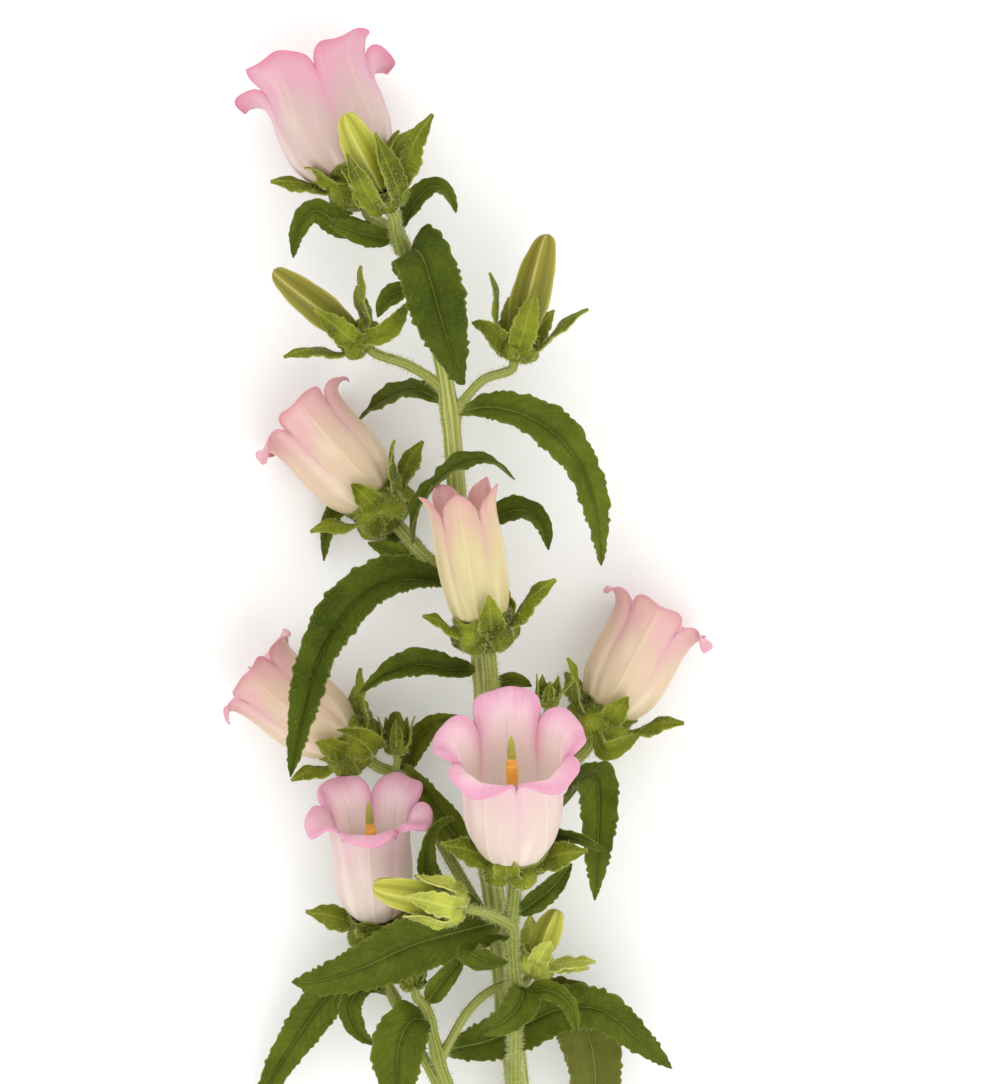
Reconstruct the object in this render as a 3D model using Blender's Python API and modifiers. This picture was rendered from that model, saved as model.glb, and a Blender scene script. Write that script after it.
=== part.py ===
# Campanula flower stem: a cut, branched stem with bell blooms, buds and leaves,
# lying on a table. +Y runs from the cut end to the top bloom and +Z is up.
# The origin is on the table under the middle of the stem's box.
# Lengths and places are millimetres, and MM turns them into Blender's metres.

import bpy
import bmesh
from math import atan2, cos, dist, pi, radians, sin
from mathutils import Matrix, Vector

MM = 0.001
GAP = 0.3                  # air between pieces that touch
BLADE = 0.7                # thickness of leaves, sepals and petals
LEAF_FOOT = 1.1            # half the width where a leaf meets its stem
LEAF_TIP = 0.35
TOOTH = 0.075              # a leaf's tooth, as a share of its width
BUD_SINK = 1.5             # how far a green bud's petals reach into its ovary
BRACT_BLADE = 0.9          # thickness of the small bracts that are fused to a stem or a calyx
SEPAL_BLADE = 0.85

STALK_STRAIGHT = 3.0       # the last stretch of a stalk, square to the ovary

OVARY_HEIGHT = 12.0        # of an open flower
OVARY_RADIUS = 9.5
OVARY_PUFF = 0.14          # how far the folds between the sepals stand out
BUD_OVARY = 0.66           # a bud's ovary, as a share of an open flower's
SEPAL_TWIST = 65           # degrees at the tip of a sepal that stands straight out to the side

# Stems: the points of each middle line (x, y, z) with the radius there.
MAIN_STEM = [
    (20.5, -249.5, 4.78, 4.6), (19.5, -205, 5.5, 4.6), (19, -159.5, 8, 4.5), (18, -124.5, 13, 4.4),
    (14, -89.5, 20, 4.3), (11, -65, 25, 4.1), (7.5, -37, 30, 3.9), (5.5, -5.5, 34, 3.6),
    (6, 15.5, 36, 3.5), (4.5, 34.5, 37, 3.4), (1, 54, 36, 3.4), (-2, 75, 35, 3.4),
    (-4, 96, 35, 3.4), (-5.5, 113.5, 35, 3.3), (-8, 131, 36, 2.9), (-12.5, 148.5, 38, 2.7),
    (-19, 166, 40, 2.6), (-23.5, 177, 42, 2.5),
]
BRANCHES = {
    "front": [(18.5, -152.5, 9, 2.6), (17.5, -135, 20, 2.5), (17, -119, 28, 2.4), (17, -89.5, 40, 2.4),
              (15.5, -66, 47, 2.4), (16.5, -55, 50, 2.4)],
    "left": [(18, -177, 7, 2.6), (5, -147.5, 18, 2.4), (-7.5, -119, 28, 2.3), (-12, -102, 33, 2.1),
             (-14.5, -92.5, 35, 2.0)],
    "upper_left": [(2, 49, 36.5, 2.6), (-7.5, 59, 36, 2.5), (-17, 68, 36, 2.4)],
    "middle": [(6.5, 11, 36, 2.6), (9, 19, 44, 2.4)],
    "lower_left": [(10, -68.5, 24, 2.3), (1.5, -54, 25, 2.1), (-10, -34, 24, 2.0), (-18, -20.5, 23, 2.0),
                   (-24, -12, 23, 2.0)],
    "right": [(6.5, -24, 32, 2.4), (20.5, -19, 28, 2.2), (33.5, -11, 25, 2.1)],
    "low": [(-9, -122.5, 26.5, 2.0), (-12, -117, 27, 1.9), (-18, -106, 26, 1.8), (-24.5, -92.5, 26, 1.8),
            (-29.5, -81, 26, 1.8)],
    "top": [(-23.5, 177, 42, 2.2), (-30, 182.5, 39, 2.1)],
}
BUD_STALKS = {
    "top": [(-22, 173, 41.5, 2.4), (-24.5, 180, 47, 2.4)],
    "left": [(-7.5, 124, 35.5, 1.9), (-14.5, 129.5, 36, 1.8), (-22, 133.5, 36, 1.8)],
    "right": [(-5, 114, 35, 1.9), (0, 121.5, 36, 1.7), (6.5, 128, 37, 1.7)],
    "lime": [(15.5, -63, 48.5, 1.9), (10.5, -60, 55, 1.8), (5.5, -57.5, 61, 1.8)],
    "low": [(-10, -111.5, 30, 1.6), (-6.5, -106.5, 31, 1.6), (-0.5, -96, 32, 1.6), (6, -89, 33, 1.6),
            (13.5, -85, 34, 1.6)],
    "side": [(-23, -13.5, 23, 1.2), (-25, -10, 25, 1.2)],
    "young_right": [(6, 9, 36, 1.5), (17, 8, 37, 1.4), (25, 8.5, 38, 1.4)],
    "low_left": [(-14.5, -93.5, 35, 1.6), (-16.5, -90, 36, 1.6)],
}

# Blooms: base is the foot of the ovary, throat and flare are radii, length runs to the rim.
# Each sepal is (turn about the axis, lean from it, length), with turn 0 on the upper side
# and 90 on the right of a bloom that points along +Y. Drops say how far each lobe bends back,
# and bend is the share of the outline where that starts, with the power that it grows by.
BLOOMS = {
    "top": dict(base=(-35, 188, 34.9), axis=(-0.36, 0.91, -0.12), throat=20, flare=28.5, length=46,
                spin=4, drops=(3, 14, 4, 7.5, 0.5), bend=(0.55, 1.0),
                sepals=[(-85, 52, 19), (-42, 42, 12), (60, 45, 14), (110, 50, 20), (175, 52, 14)]),
    "upper_left": dict(base=(-24, 76, 25.3), axis=(-0.67, 0.74, -0.1), throat=15, flare=21.5, length=44,
                       spin=48, drops=(5, 4, 4, 8, 2),
                       sepals=[(-80, 50, 15), (-5, 34, 12), (48, 42, 17), (108, 62, 18), (170, 12, 11)]),
    "middle": dict(base=(8, 32, 53), axis=(-0.17, 0.95, 0.2), throat=12.2, flare=12, length=47,
                   spin=29, drops=(0, 0, 0, 0, 0),
                   sepals=[(-70, 52, 15), (12, 22, 14), (75, 30, 23), (140, 16, 13), (-150, 10, 12)]),
    "lower_left": dict(base=(-33.5, -7, 25), axis=(-0.79, 0.61, 0), throat=14.2, flare=19.5, length=43,
                       spin=28, drops=(5, 4, 4, 8, 2),
                       sepals=[(-90, 50, 13), (-15, 36, 12), (70, 40, 18), (130, 40, 15), (-160, 45, 13)]),
    "right": dict(base=(43.5, -0.5, 22.3), axis=(0.48, 0.877, -0.05), throat=15, flare=21.5, length=43,
                  spin=31, drops=(7, 4, 4, 6, 2),
                  sepals=[(-130, 55, 16), (-58, 42, 17), (10, 32, 12), (82, 46, 18), (160, 30, 13)]),
    "front": dict(base=(17, -46, 53), axis=(-0.02, 0.77, 0.62), throat=17.6, flare=26, length=53,
                  spin=4, drops=(6, 6, 2, 7, 9),
                  sepals=[(-85, 60, 15), (-12, 32, 12), (72, 60, 16), (140, 28, 13), (-145, 45, 14)]),
    "low": dict(base=(-30.5, -72, 27), axis=(-0.06, 0.88, 0.42), throat=13.8, flare=22.5, length=46,
                spin=33, drops=(6, 1, 1, 7, 5),
                sepals=[(-90, 68, 14), (-20, 60, 9), (45, 60, 11), (120, 50, 16), (-155, 50, 15)]),
}
HALF_OPEN = {"middle"}     # blooms whose lobes still stand up, unflared
PISTIL_REACH = 1.0         # of the bloom's length
PISTIL_YOUNG = 0.85        # in a half open bloom
PISTIL_RADIUS = 1.5

# Buds: girth is the radius of the closed petals, and length is theirs too.
BUDS = {
    "top": dict(base=(-26, 186, 54), axis=(-0.4, 0.85, 0.36), girth=6.2, length=31,
                sepals=[(-100, 14, 14), (-35, 8, 21), (38, 10, 24), (92, 40, 26), (170, 4, 9)]),
    "left": dict(base=(-33.5, 138.5, 36), axis=(-0.77, 0.63, 0.1), girth=5.6, length=36,
                 sepals=[(-85, 34, 22), (-12, 12, 18), (68, 8, 22), (115, 30, 13), (180, 20, 14)]),
    "right": dict(base=(16.5, 134, 37), axis=(0.27, 0.96, 0.1), girth=6.4, length=38.5,
                  sepals=[(5, 8, 20), (80, 34, 22), (-80, 20, 24), (145, 26, 16), (-150, 26, 16)]),
    "lime": dict(base=(0, -56, 66), axis=(-0.93, 0.24, 0.25), girth=5.6, length=26,
                 sepals=[(10, 10, 15), (80, 14, 16), (150, 8, 12), (-130, 12, 11), (-60, 16, 15)]),
    "low": dict(base=(21.5, -82, 36), axis=(0.42, 0.9, 0.1), girth=4.8, length=18,
                sepals=[(5, 30, 13), (70, 48, 15), (110, 70, 13), (-150, 30, 14), (-70, 34, 13)]),
    "side": dict(base=(-24.5, -4.5, 27), axis=(-0.02, 1, 0.05), girth=3.2, length=13,
                 sepals=[(0, 16, 10), (72, 18, 11), (144, 18, 10), (-144, 18, 10), (-72, 18, 11)]),
    "young_right": dict(base=(28.5, 12.5, 39), axis=(0.1, 0.99, 0.1), girth=2.8, length=7,
                        sepals=[(0, 22, 8), (72, 26, 9), (144, 10, 8), (-144, 10, 8), (-72, 14, 9)]),
    "low_left": dict(base=(-18, -87, 37), axis=(-0.25, 0.95, 0.0), girth=3.4, length=8,
                     sepals=[(0, 26, 8), (72, 34, 9), (144, 30, 8), (-144, 30, 8), (-72, 34, 9)]),
}
ONE_COLOUR_BUDS = {"side", "young_right", "low_left"}     # still green, petals and calyx alike

# Leaves: the midrib's points from the stem out, and the widest width. Roll turns the blade
# about its midrib from facing up, fold lifts its two halves, wave is the ruffle's height.
LEAVES = {
    "top_left": dict(width=9, points=[(-28, 180.5, 39), (-42, 181.5, 38), (-53, 187, 39), (-59, 180.5, 36),
                                      (-61, 171, 31)]),
    "top_under": dict(width=8, points=[(-23.5, 176.5, 42), (-34.5, 178, 46), (-42, 180.5, 47),
                                       (-48.5, 183, 46)]),
    "top_right": dict(width=8, roll=-30, points=[(-24, 178.5, 42), (-18, 189.5, 45), (-12, 195, 47),
                                                 (-6.5, 193, 47), (-3.5, 186, 45)]),
    "front_high": dict(width=21, teeth=9, points=[(-17.5, 161.5, 39), (-20, 168, 48), (-18.5, 172.5, 56),
                                                  (-14.5, 168.5, 61), (-9, 150, 62), (-3, 130, 59),
                                                  (-0.5, 125.5, 57)]),
    "right_high": dict(width=15, teeth=10, roll=-25, points=[(-5, 115, 35), (8.5, 118, 41), (24, 113.5, 46),
                                                             (37, 102, 47), (45, 83.5, 43),
                                                             (47.5, 62.5, 35)]),
    "left_high": dict(width=10, roll=55, points=[(-6, 118, 35), (-17, 124, 30), (-29.5, 121, 20),
                                                 (-39, 113.5, 9)]),
    "over_stem": dict(width=11, roll=-60, points=[(-19, 70, 36), (-17, 82.5, 42), (-10, 91.5, 48),
                                                  (-1.5, 98, 50), (8.5, 99, 49), (17, 92.5, 46)]),
    "right_mid": dict(width=10, roll=-30, points=[(-2, 74, 35), (10, 79.5, 33), (19.5, 82, 36),
                                                  (26.5, 77.5, 38), (29, 68, 36)]),
    "left_long": dict(width=19, teeth=12, roll=15, points=[(1.5, 51.5, 36), (-11, 56.5, 43.5), (-25, 57, 52),
                                                           (-39, 49, 59), (-50.5, 31, 61), (-56.5, 9, 60),
                                                           (-61, -11, 56)]),
    "left_mid": dict(width=11, roll=25, points=[(5, 26, 37), (-5, 26, 45), (-16, 28, 48), (-27.5, 24.5, 47),
                                                (-37, 18, 45)]),
    "left_young": dict(width=9, points=[(-22.5, -14, 23), (-19, -2, 17), (-12, 6, 21), (-3, 9.5, 27)]),
    "right_hanging": dict(width=15, teeth=9, points=[(7.5, -37, 30), (22.5, -31, 31), (33.5, -21.5, 36),
                                                      (40, -13.5, 44), (45, -11.5, 50), (46.5, -19.5, 53),
                                                      (46, -37, 52), (45, -54.5, 47)]),
    "by_bloom": dict(width=8, points=[(16.5, -60, 48.5), (22.5, -56, 51), (30, -50, 52), (37, -41.5, 51)]),
    "sickle": dict(width=8, roll=30, points=[(9, -59.5, 56), (-3, -53, 55), (-12, -47, 55),
                                             (-14, -38, 56.5), (-11, -29, 57), (-4, -25, 56)]),
    "branch": dict(width=11, points=[(7.5, -45, 29), (-1.5, -35.5, 32), (-12, -21.5, 30), (-21.5, -7.5, 29)]),
    "low_left": dict(width=19, teeth=11, fold=8, points=[(15.5, -61, 48.5), (-1, -65, 50), (-18.5, -70, 51),
                                                 (-36.5, -78, 51), (-52, -83, 47), (-61, -83.5, 42)]),
    "low_fold": dict(width=10, points=[(15.5, -67, 48), (6, -70, 58), (1.5, -71.5, 63), (7.5, -74.5, 62),
                                       (14.5, -75.5, 58)]),
    "low_front": dict(width=12, points=[(16.5, -84.5, 42), (20, -87, 49), (17, -93, 55), (11, -97.5, 55),
                                        (5, -100, 51)]),
    "low_right": dict(width=17, teeth=10, fold=8, wave=0.7,
                      points=[(-10.5, -109.5, 31), (-3, -108, 26), (8, -105.5, 25), (18, -101, 26),
                              (33, -94, 31), (47.5, -94, 36), (61, -104.5, 34), (72.5, -115, 29)]),
    "low_arc": dict(width=7, points=[(17, -91, 39.5), (27, -86, 46), (35.5, -90, 51), (39, -101, 50)]),
    "low_pale": dict(width=21, teeth=9, points=[(14.5, -94.5, 19), (28.5, -91, 22), (40, -96.5, 24),
                                                 (45, -111.5, 23), (46, -130, 18), (47, -145.5, 11)]),
    "low_hanging": dict(width=18, teeth=8, points=[(-13, -98, 34.5), (-19, -97, 43), (-23.5, -105.5, 47),
                                                   (-24, -119.5, 46), (-23, -130, 42)]),
    "low_far": dict(width=14, teeth=9, points=[(-25.5, -91, 26), (-34, -84, 21), (-46, -87, 18),
                                                (-59, -103.5, 16), (-69.5, -121, 12), (-73.5, -134.5, 7)]),
    "mid_hanging": dict(width=10, points=[(-12, 63, 34), (-19, 68, 22), (-31, 78, 9), (-43, 84, 6),
                                          (-49, 78, 7), (-51, 64, 6)]),
    "right_spur": dict(width=7, points=[(8, -40, 29.5), (20, -36, 35), (29, -33, 43), (34, -32, 54),
                                        (40, -32.5, 60), (49, -37, 59)]),
}
# Small bracts that are one piece with the stem, and those that are one piece with a calyx.
STEM_BRACTS = {
    "behind_high": dict(width=7, points=[(-17, 160.5, 39), (-24, 158.5, 41), (-28.5, 155, 42),
                                         (-31, 149.5, 42)]),
    "low_small": dict(width=8, points=[(-14.5, -92.5, 35), (-9, -84.5, 40), (-4, -78.5, 41),
                                       (-0.5, -74, 39)]),
    "low_curl": dict(width=8, points=[(-27, -87, 26), (-36, -86, 29), (-41, -93, 31), (-38, -102, 29),
                                      (-32, -107, 26)]),
    "mid_pale": dict(width=7, points=[(-12, 63.5, 36), (-21.5, 65.5, 35), (-27.5, 68, 35),
                                      (-34.5, 70.5, 34)]),
    "right_low": dict(width=6, points=[(6, 16.5, 36), (12, 21, 37), (18, 22, 36), (23, 20, 34)]),
}
CALYX_BRACTS = {
    "lower_left": dict(width=6, points=[(-37, -2, 27), (-31, -2, 35), (-36.5, 3.5, 43), (-45, 5, 47)]),
    "right": dict(width=7, points=[(46, 4, 31), (48.5, -2.5, 37), (54, -1, 38), (61, 3, 36)]),
}
BUD_BRACTS = {
    "left": dict(width=7, points=[(-36.5, 141.5, 40), (-34, 142.5, 44.5), (-30, 143, 45), (-25, 147, 44),
                                  (-20.5, 154.5, 42)]),
    "right": dict(width=7, points=[(15.5, 137, 38), (12.5, 140.5, 44), (7.5, 145.5, 46), (2, 147.5, 45)]),
}

# A bell's outline from its base to its lip: share of the throat, share of the flare, height.
BELL_OUTLINE = [(0.24, 0, 0.0), (0.54, 0, 0.012), (0.77, 0, 0.09), (0.97, 0, 0.25), (1.03, 0, 0.47),
                (1.0, 0.03, 0.68), (0.98, 0.24, 0.85), (1.0, 0.62, 0.95), (1.0, 1.0, 1.0)]
HALF_OUTLINE = [(0.30, 0, 0.0), (0.62, 0, 0.012), (0.78, 0, 0.08), (0.92, 0, 0.25), (1.0, 0, 0.48),
                (0.98, 0, 0.68), (0.96, 0, 0.82), (1.0, 0, 0.93), (1.12, 0, 1.0)]
OVARY_OUTLINE = [(0, 0), (0.52, 0.08), (0.93, 0.36), (1.0, 0.66), (0.86, 0.96), (0, 1.0)]
BUD_OUTLINE = [(0, 0), (0.62, 0.03), (0.86, 0.18), (1.0, 0.42), (0.86, 0.72), (0.52, 0.94), (0, 1.0)]
PISTIL_OUTLINE = [(1, 0), (0.7, 0.3), (1.1, 0.6), (1.1, 0.85), (0.8, 1)]
LOBES = 5
NOTCH = 0.26               # how deep the cut between two lobes runs, as a share of the outline
BEND = (0.7, 2.0)          # of a bloom that gives none

# Colours (red, green, blue) in Blender's linear values, with roughness.
STEM_GREEN = (0.30, 0.37, 0.10, 0.55)
LEAF_GREEN = (0.035, 0.085, 0.012, 0.5)
YOUNG_GREEN = (0.20, 0.26, 0.035, 0.55)
PETAL_PINK = (0.83, 0.50, 0.62, 0.45)
PETAL_CREAM = (0.85, 0.66, 0.42, 0.45)
BUD_GREEN = (0.42, 0.45, 0.08, 0.5)
POLLEN = (0.78, 0.30, 0.03, 0.7)


def clear_scene():
    """Start from an empty scene."""
    for item in list(bpy.data.objects):
        bpy.data.objects.remove(item)


def finish(name, colour):
    """A plain material for one piece."""
    material = bpy.data.materials.new(name)
    material.use_nodes = True
    shader = material.node_tree.nodes["Principled BSDF"]
    shader.inputs["Base Color"].default_value = (*colour[:3], 1)
    shader.inputs["Roughness"].default_value = colour[3]
    shader.inputs["Metallic"].default_value = 0
    return material


def add_object(name, mesh, collection):
    item = bpy.data.objects.new(name, mesh)
    collection.objects.link(item)
    return item


def applied(item):
    """Replace an object by a plain mesh of what its modifiers make."""
    graph = bpy.context.evaluated_depsgraph_get()
    mesh = bpy.data.meshes.new_from_object(item.evaluated_get(graph))
    collection = item.users_collection[0]
    name = item.name
    bpy.data.objects.remove(item)
    return add_object(name, mesh, collection)


def blend_point(before, start, end, after, part):
    """Catmull-Rom curve between two points of a path."""
    return [0.5 * (2 * b + (c - a) * part + (2 * a - 5 * b + 4 * c - d) * part ** 2
                   + (3 * b - a - 3 * c + d) * part ** 3)
            for a, b, c, d in zip(before, start, end, after)]


def smooth_path(points, steps):
    """Even steps along a smooth curve through the points."""
    ends = [points[0], *points, points[-1]]
    fine = [blend_point(*ends[i:i + 4], k / 12) for i in range(len(points) - 1) for k in range(12)]
    fine.append(list(points[-1]))
    run = [0.0]
    for a, b in zip(fine, fine[1:]):
        run.append(run[-1] + dist(a[:3], b[:3]))
    path = []
    i = 0
    for k in range(steps + 1):
        want = run[-1] * k / steps
        while i < len(run) - 2 and run[i + 1] < want:
            i += 1
        part = (want - run[i]) / (run[i + 1] - run[i])
        path.append([a + (b - a) * part for a, b in zip(fine[i], fine[i + 1])])
    return path


def path_length(path):
    return sum(dist(a[:3], b[:3]) for a, b in zip(path, path[1:]))


def along(outline, part):
    """The point at a share of the way along a turned outline."""
    spans = len(outline) - 1
    at = min(part, 0.9999) * spans
    i = int(at)
    ends = [outline[0], *outline, outline[-1]]
    return blend_point(*ends[i:i + 4], at - i)


def stalk(points, base, axis):
    """A flower's stalk: its own points, then up to the foot of the ovary."""
    base, axis = Vector(base), Vector(axis).normalized()
    thick = points[-1][3]
    return [*points, (*(base - axis * STALK_STRAIGHT), thick), (*(base - axis * GAP), thick)]


def stem_paths():
    """Every stem's smooth middle line, with its radius."""
    routes = {"main": MAIN_STEM, "left": BRANCHES["left"]}
    for name, bloom in BLOOMS.items():
        routes["bloom " + name] = stalk(BRANCHES[name], bloom["base"], bloom["axis"])
    for name, bud in BUDS.items():
        routes["bud " + name] = stalk(BUD_STALKS[name], bud["base"], bud["axis"])
    return routes


def frames(path, roll):
    """Tangent and facing direction at each point, with the blade facing up past its middle."""
    spots = [Vector(p[:3]) for p in path]
    last = len(spots) - 1
    tangents = [(spots[min(i + 1, last)] - spots[max(i - 1, 0)]).normalized() for i in range(last + 1)]
    facing = [None] * (last + 1)
    middle = round(last * 0.6)
    up = Vector((0, 0, 1))
    up = (up - tangents[middle] * up.dot(tangents[middle])).normalized()
    facing[middle] = Matrix.Rotation(radians(roll), 3, tangents[middle]) @ up
    for order in (range(middle + 1, last + 1), range(middle - 1, -1, -1)):
        previous = facing[middle]
        for i in order:
            previous = (previous - tangents[i] * previous.dot(tangents[i])).normalized()
            facing[i] = previous
    return spots, tangents, facing


def half_width(width, row, rows):
    """Half of a blade's width at one row, with every other row a tooth."""
    part = row / rows
    half = width / 2 * sin(pi * part ** 0.8) ** 0.75 if 0 < row < rows else 0
    return max(half, LEAF_FOOT if part < 0.5 else LEAF_TIP)


def seated(points, skin, width, roll, teeth):
    """The midrib from where the foot of its blade just clears every stem's skin."""
    rows = teeth * 2
    path = smooth_path(points, 240)
    for start in range(160):
        spots, tangents, facing = frames(smooth_path(path[start:], rows), roll)
        foot = []
        for row in (0, 1):
            across = tangents[row].cross(facing[row]) * half_width(width, row, rows)
            foot += [spots[row] + across * a + facing[row] * BLADE * b
                     for a in (-1, 0, 1) for b in (-0.5, 0.5)]
        if min(dist(corner, near[:3]) - near[3] for corner in foot for near in skin) > GAP:
            break
    return path[start:]


def blade(name, path, width, collection, roll=0, fold=16, teeth=7, wave=1.0, thickness=BLADE):
    """A toothed, ruffled leaf blade along its midrib."""
    rows = teeth * 2
    spots, tangents, facing = frames(smooth_path(path, rows), roll)
    length = path_length(path)
    mesh = bpy.data.meshes.new(name)
    bm = bmesh.new()
    bmesh.ops.create_grid(bm, x_segments=2, y_segments=rows, size=1)
    for vert in bm.verts:
        across = vert.co.x
        row = round((vert.co.y + 1) / 2 * rows)
        part = row / rows
        half = half_width(width, row, rows)
        if abs(across) > 0.5 and row % 2 and 0.1 < part < 0.97:
            half += TOOTH * width
        side = tangents[row].cross(facing[row])
        lift = half * sin(radians(fold)) + wave * sin(part * pi) * sin(length * part / 4.2 + across * 1.3)
        spot = spots[row] + side * across * half * cos(radians(fold)) + facing[row] * abs(across) * lift
        vert.co = spot * MM
    bmesh.ops.triangulate(bm, faces=bm.faces[:])
    bm.to_mesh(mesh)
    bm.free()
    item = add_object(name, mesh, collection)
    shell = item.modifiers.new("thickness", "SOLIDIFY")
    shell.thickness = thickness * MM
    shell.offset = 0
    return applied(item)


def tube(name, route, collection, step, resolution=1):
    """A stem or stalk: a smooth tube whose radius follows its route."""
    path = smooth_path(route[:-1], max(2, round(path_length(route) / step))) + [route[-1]]
    curve = bpy.data.curves.new(name, "CURVE")
    curve.dimensions = "3D"
    curve.bevel_depth = MM
    curve.bevel_resolution = resolution
    curve.use_fill_caps = True
    sides = 4 + 2 * resolution
    fullness = cos(pi / sides) ** -0.5          # evens out the flats of a tube with few sides
    line = curve.splines.new("POLY")
    line.points.add(len(path) - 1)
    for point, (x, y, z, radius) in zip(line.points, path):
        point.co = (x * MM, y * MM, z * MM, 1)
        point.radius = radius * fullness
    item = applied(add_object(name, curve, collection))
    bm = bmesh.new()
    bm.from_mesh(item.data)
    bmesh.ops.remove_doubles(bm, verts=bm.verts, dist=1e-6)
    bmesh.ops.recalc_face_normals(bm, faces=bm.faces)
    bm.to_mesh(item.data)
    bm.free()
    return item


def fused(item, others):
    """Join the pieces of a collection to one body."""
    join = item.modifiers.new("join", "BOOLEAN")
    join.operation = "UNION"
    join.operand_type = "COLLECTION"
    join.collection = others
    join.solver = "EXACT"
    item = applied(item)
    for other in list(others.objects):
        bpy.data.objects.remove(other)
    bpy.data.collections.remove(others)
    return item


def helper_collection(name):
    collection = bpy.data.collections.new(name)
    bpy.context.scene.collection.children.link(collection)
    return collection


def flower_axes(axis):
    """A flower's own axes: right, upper side, and along the bloom."""
    along_axis = Vector(axis).normalized()
    up = Vector((0, 0, 1))
    up = (up - along_axis * up.dot(along_axis)).normalized()
    return along_axis.cross(up), up, along_axis


def in_flower(base, axes, turn, radius, height):
    """A point at a turn, radius and height about a flower's axis."""
    right, up, along_axis = axes
    return Vector(base) + (up * cos(turn) + right * sin(turn)) * radius + along_axis * height


def turned(name, base, axis, outline, girth, length, sides, rings, ridge, collection, start=0):
    """A closed turned body, such as an ovary or a bud, with five soft ridges from the turn start."""
    axes = flower_axes(axis)
    mesh = bpy.data.meshes.new(name)
    bm = bmesh.new()
    bmesh.ops.create_uvsphere(bm, u_segments=sides, v_segments=rings, radius=1)
    for vert in bm.verts:
        part = 1 - atan2(Vector(vert.co.xy).length, vert.co.z) / pi
        turn = atan2(vert.co.y, vert.co.x)
        radius, height = along(outline, part)
        if part < 0.001 or part > 0.999:
            radius = 0
        radius *= girth * (1 + ridge * cos(LOBES * turn))
        vert.co = in_flower(base, axes, turn + start, radius, height * length) * MM
    bm.to_mesh(mesh)
    bm.free()
    return add_object(name, mesh, collection)


def bell(name, bloom, collection):
    """The joined petals: a thin bell with five lobes at its rim."""
    half_open = name.removeprefix("bloom_") in HALF_OPEN
    outline = HALF_OUTLINE if half_open else BELL_OUTLINE
    axes = flower_axes(bloom["axis"])
    base = Vector(bloom["base"]) + axes[2] * (OVARY_HEIGHT + GAP)
    bend_start, bend_power = bloom.get("bend", BEND)
    around = LOBES * 4
    rows = 5
    mesh = bpy.data.meshes.new(name)
    bm = bmesh.new()
    bmesh.ops.create_grid(bm, x_segments=around, y_segments=rows, size=1)
    for vert in bm.verts:
        share = (vert.co.x + 1) / 2 * LOBES
        to_notch = abs(share % 1 - 0.5) * 2
        reach = 1 - NOTCH * to_notch ** (1.2 if half_open else 2.0)
        row = (vert.co.y + 1) / 2
        part = row ** 0.85 * reach
        throat, flare, height = along(outline, part)
        radius = bloom["throat"] * throat + (bloom["flare"] - bloom["throat"]) * flare
        radius *= 1 - 0.03 * to_notch * part
        turn = radians(bloom["spin"]) + share * 2 * pi / LOBES
        drop = bloom["drops"][min(int(share), LOBES - 1)] * (1 - to_notch ** 2)
        drop *= max(0, (part - bend_start) / (1 - bend_start)) ** bend_power
        vert.co = in_flower(base, axes, turn, radius, height * bloom["length"] - drop) * MM
    bmesh.ops.remove_doubles(bm, verts=bm.verts, dist=1e-6)
    bmesh.ops.triangulate(bm, faces=bm.faces[:])
    bm.to_mesh(mesh)
    bm.free()
    item = add_object(name, mesh, collection)
    shell = item.modifiers.new("thickness", "SOLIDIFY")
    shell.thickness = BLADE * MM
    shell.offset = -1
    return applied(item)


def calyx(name, flower, scale, bracts, collection):
    """An ovary puffed out between five sepals, with any bract that grows from it."""
    axes = flower_axes(flower["axis"])
    base = flower["base"]
    rim = OVARY_RADIUS * scale
    height = OVARY_HEIGHT * scale
    ovary = turned(name, base, flower["axis"], OVARY_OUTLINE, rim, height, 10, 5, OVARY_PUFF, collection,
                   radians(flower["sepals"][0][0] + 36))
    grown = helper_collection(name + "_parts")
    for i, (turn, lean, length) in enumerate(flower["sepals"]):
        turn = radians(turn)
        lean = radians(lean)
        elbow = (rim * 1.22, height * 0.97)
        path = [in_flower(base, axes, turn, rim * 0.7, height * 0.78),
                in_flower(base, axes, turn, *elbow)]
        for part, bend in ((0.5, 0.0), (1.0, 0.25)):
            radius = elbow[0] + length * part * sin(lean + bend)
            path.append(in_flower(base, axes, turn, radius, elbow[1] + length * part * cos(lean + bend)))
        outward = in_flower((0, 0, 0), axes, turn, 1, 0)
        twist = SEPAL_TWIST * sin(turn) * sin(lean)
        sepal(f"sepal_{i}", path, 0.5 * rim + 0.25 * length, outward, axes[2], twist, grown)
    for i, bract in enumerate(bracts):
        blade(f"bract_{i}", bract["points"], bract["width"], grown, teeth=3, wave=0.3, thickness=BRACT_BLADE)
    return fused(ovary, grown)


def sepal(name, path, width, outward, axis, twist, collection):
    """A pointed green lobe of the calyx, its face turned to the bloom's axis and then upward."""
    rows = 3
    spots = [Vector(p) for p in smooth_path([tuple(p) for p in path], rows)]
    across_axis = axis.cross(outward).normalized()
    mesh = bpy.data.meshes.new(name)
    bm = bmesh.new()
    bmesh.ops.create_grid(bm, x_segments=2, y_segments=rows, size=1)
    for vert in bm.verts:
        row = round((vert.co.y + 1) / 2 * rows)
        half = width / 2 * (0.75, 1.0, 0.72, 0.12)[row]
        tangent = (spots[min(row + 1, rows)] - spots[max(row - 1, 0)]).normalized()
        across = Matrix.Rotation(radians(twist) * (row / rows) ** 1.5, 3, tangent) @ across_axis
        back = tangent.cross(across)
        vert.co = (spots[row] + across * vert.co.x * half - back * abs(vert.co.x) * half * 0.25) * MM
    bmesh.ops.triangulate(bm, faces=bm.faces[:])
    bm.to_mesh(mesh)
    bm.free()
    item = add_object(name, mesh, collection)
    shell = item.modifiers.new("thickness", "SOLIDIFY")
    shell.thickness = SEPAL_BLADE * MM
    shell.offset = 0
    return applied(item)


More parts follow.
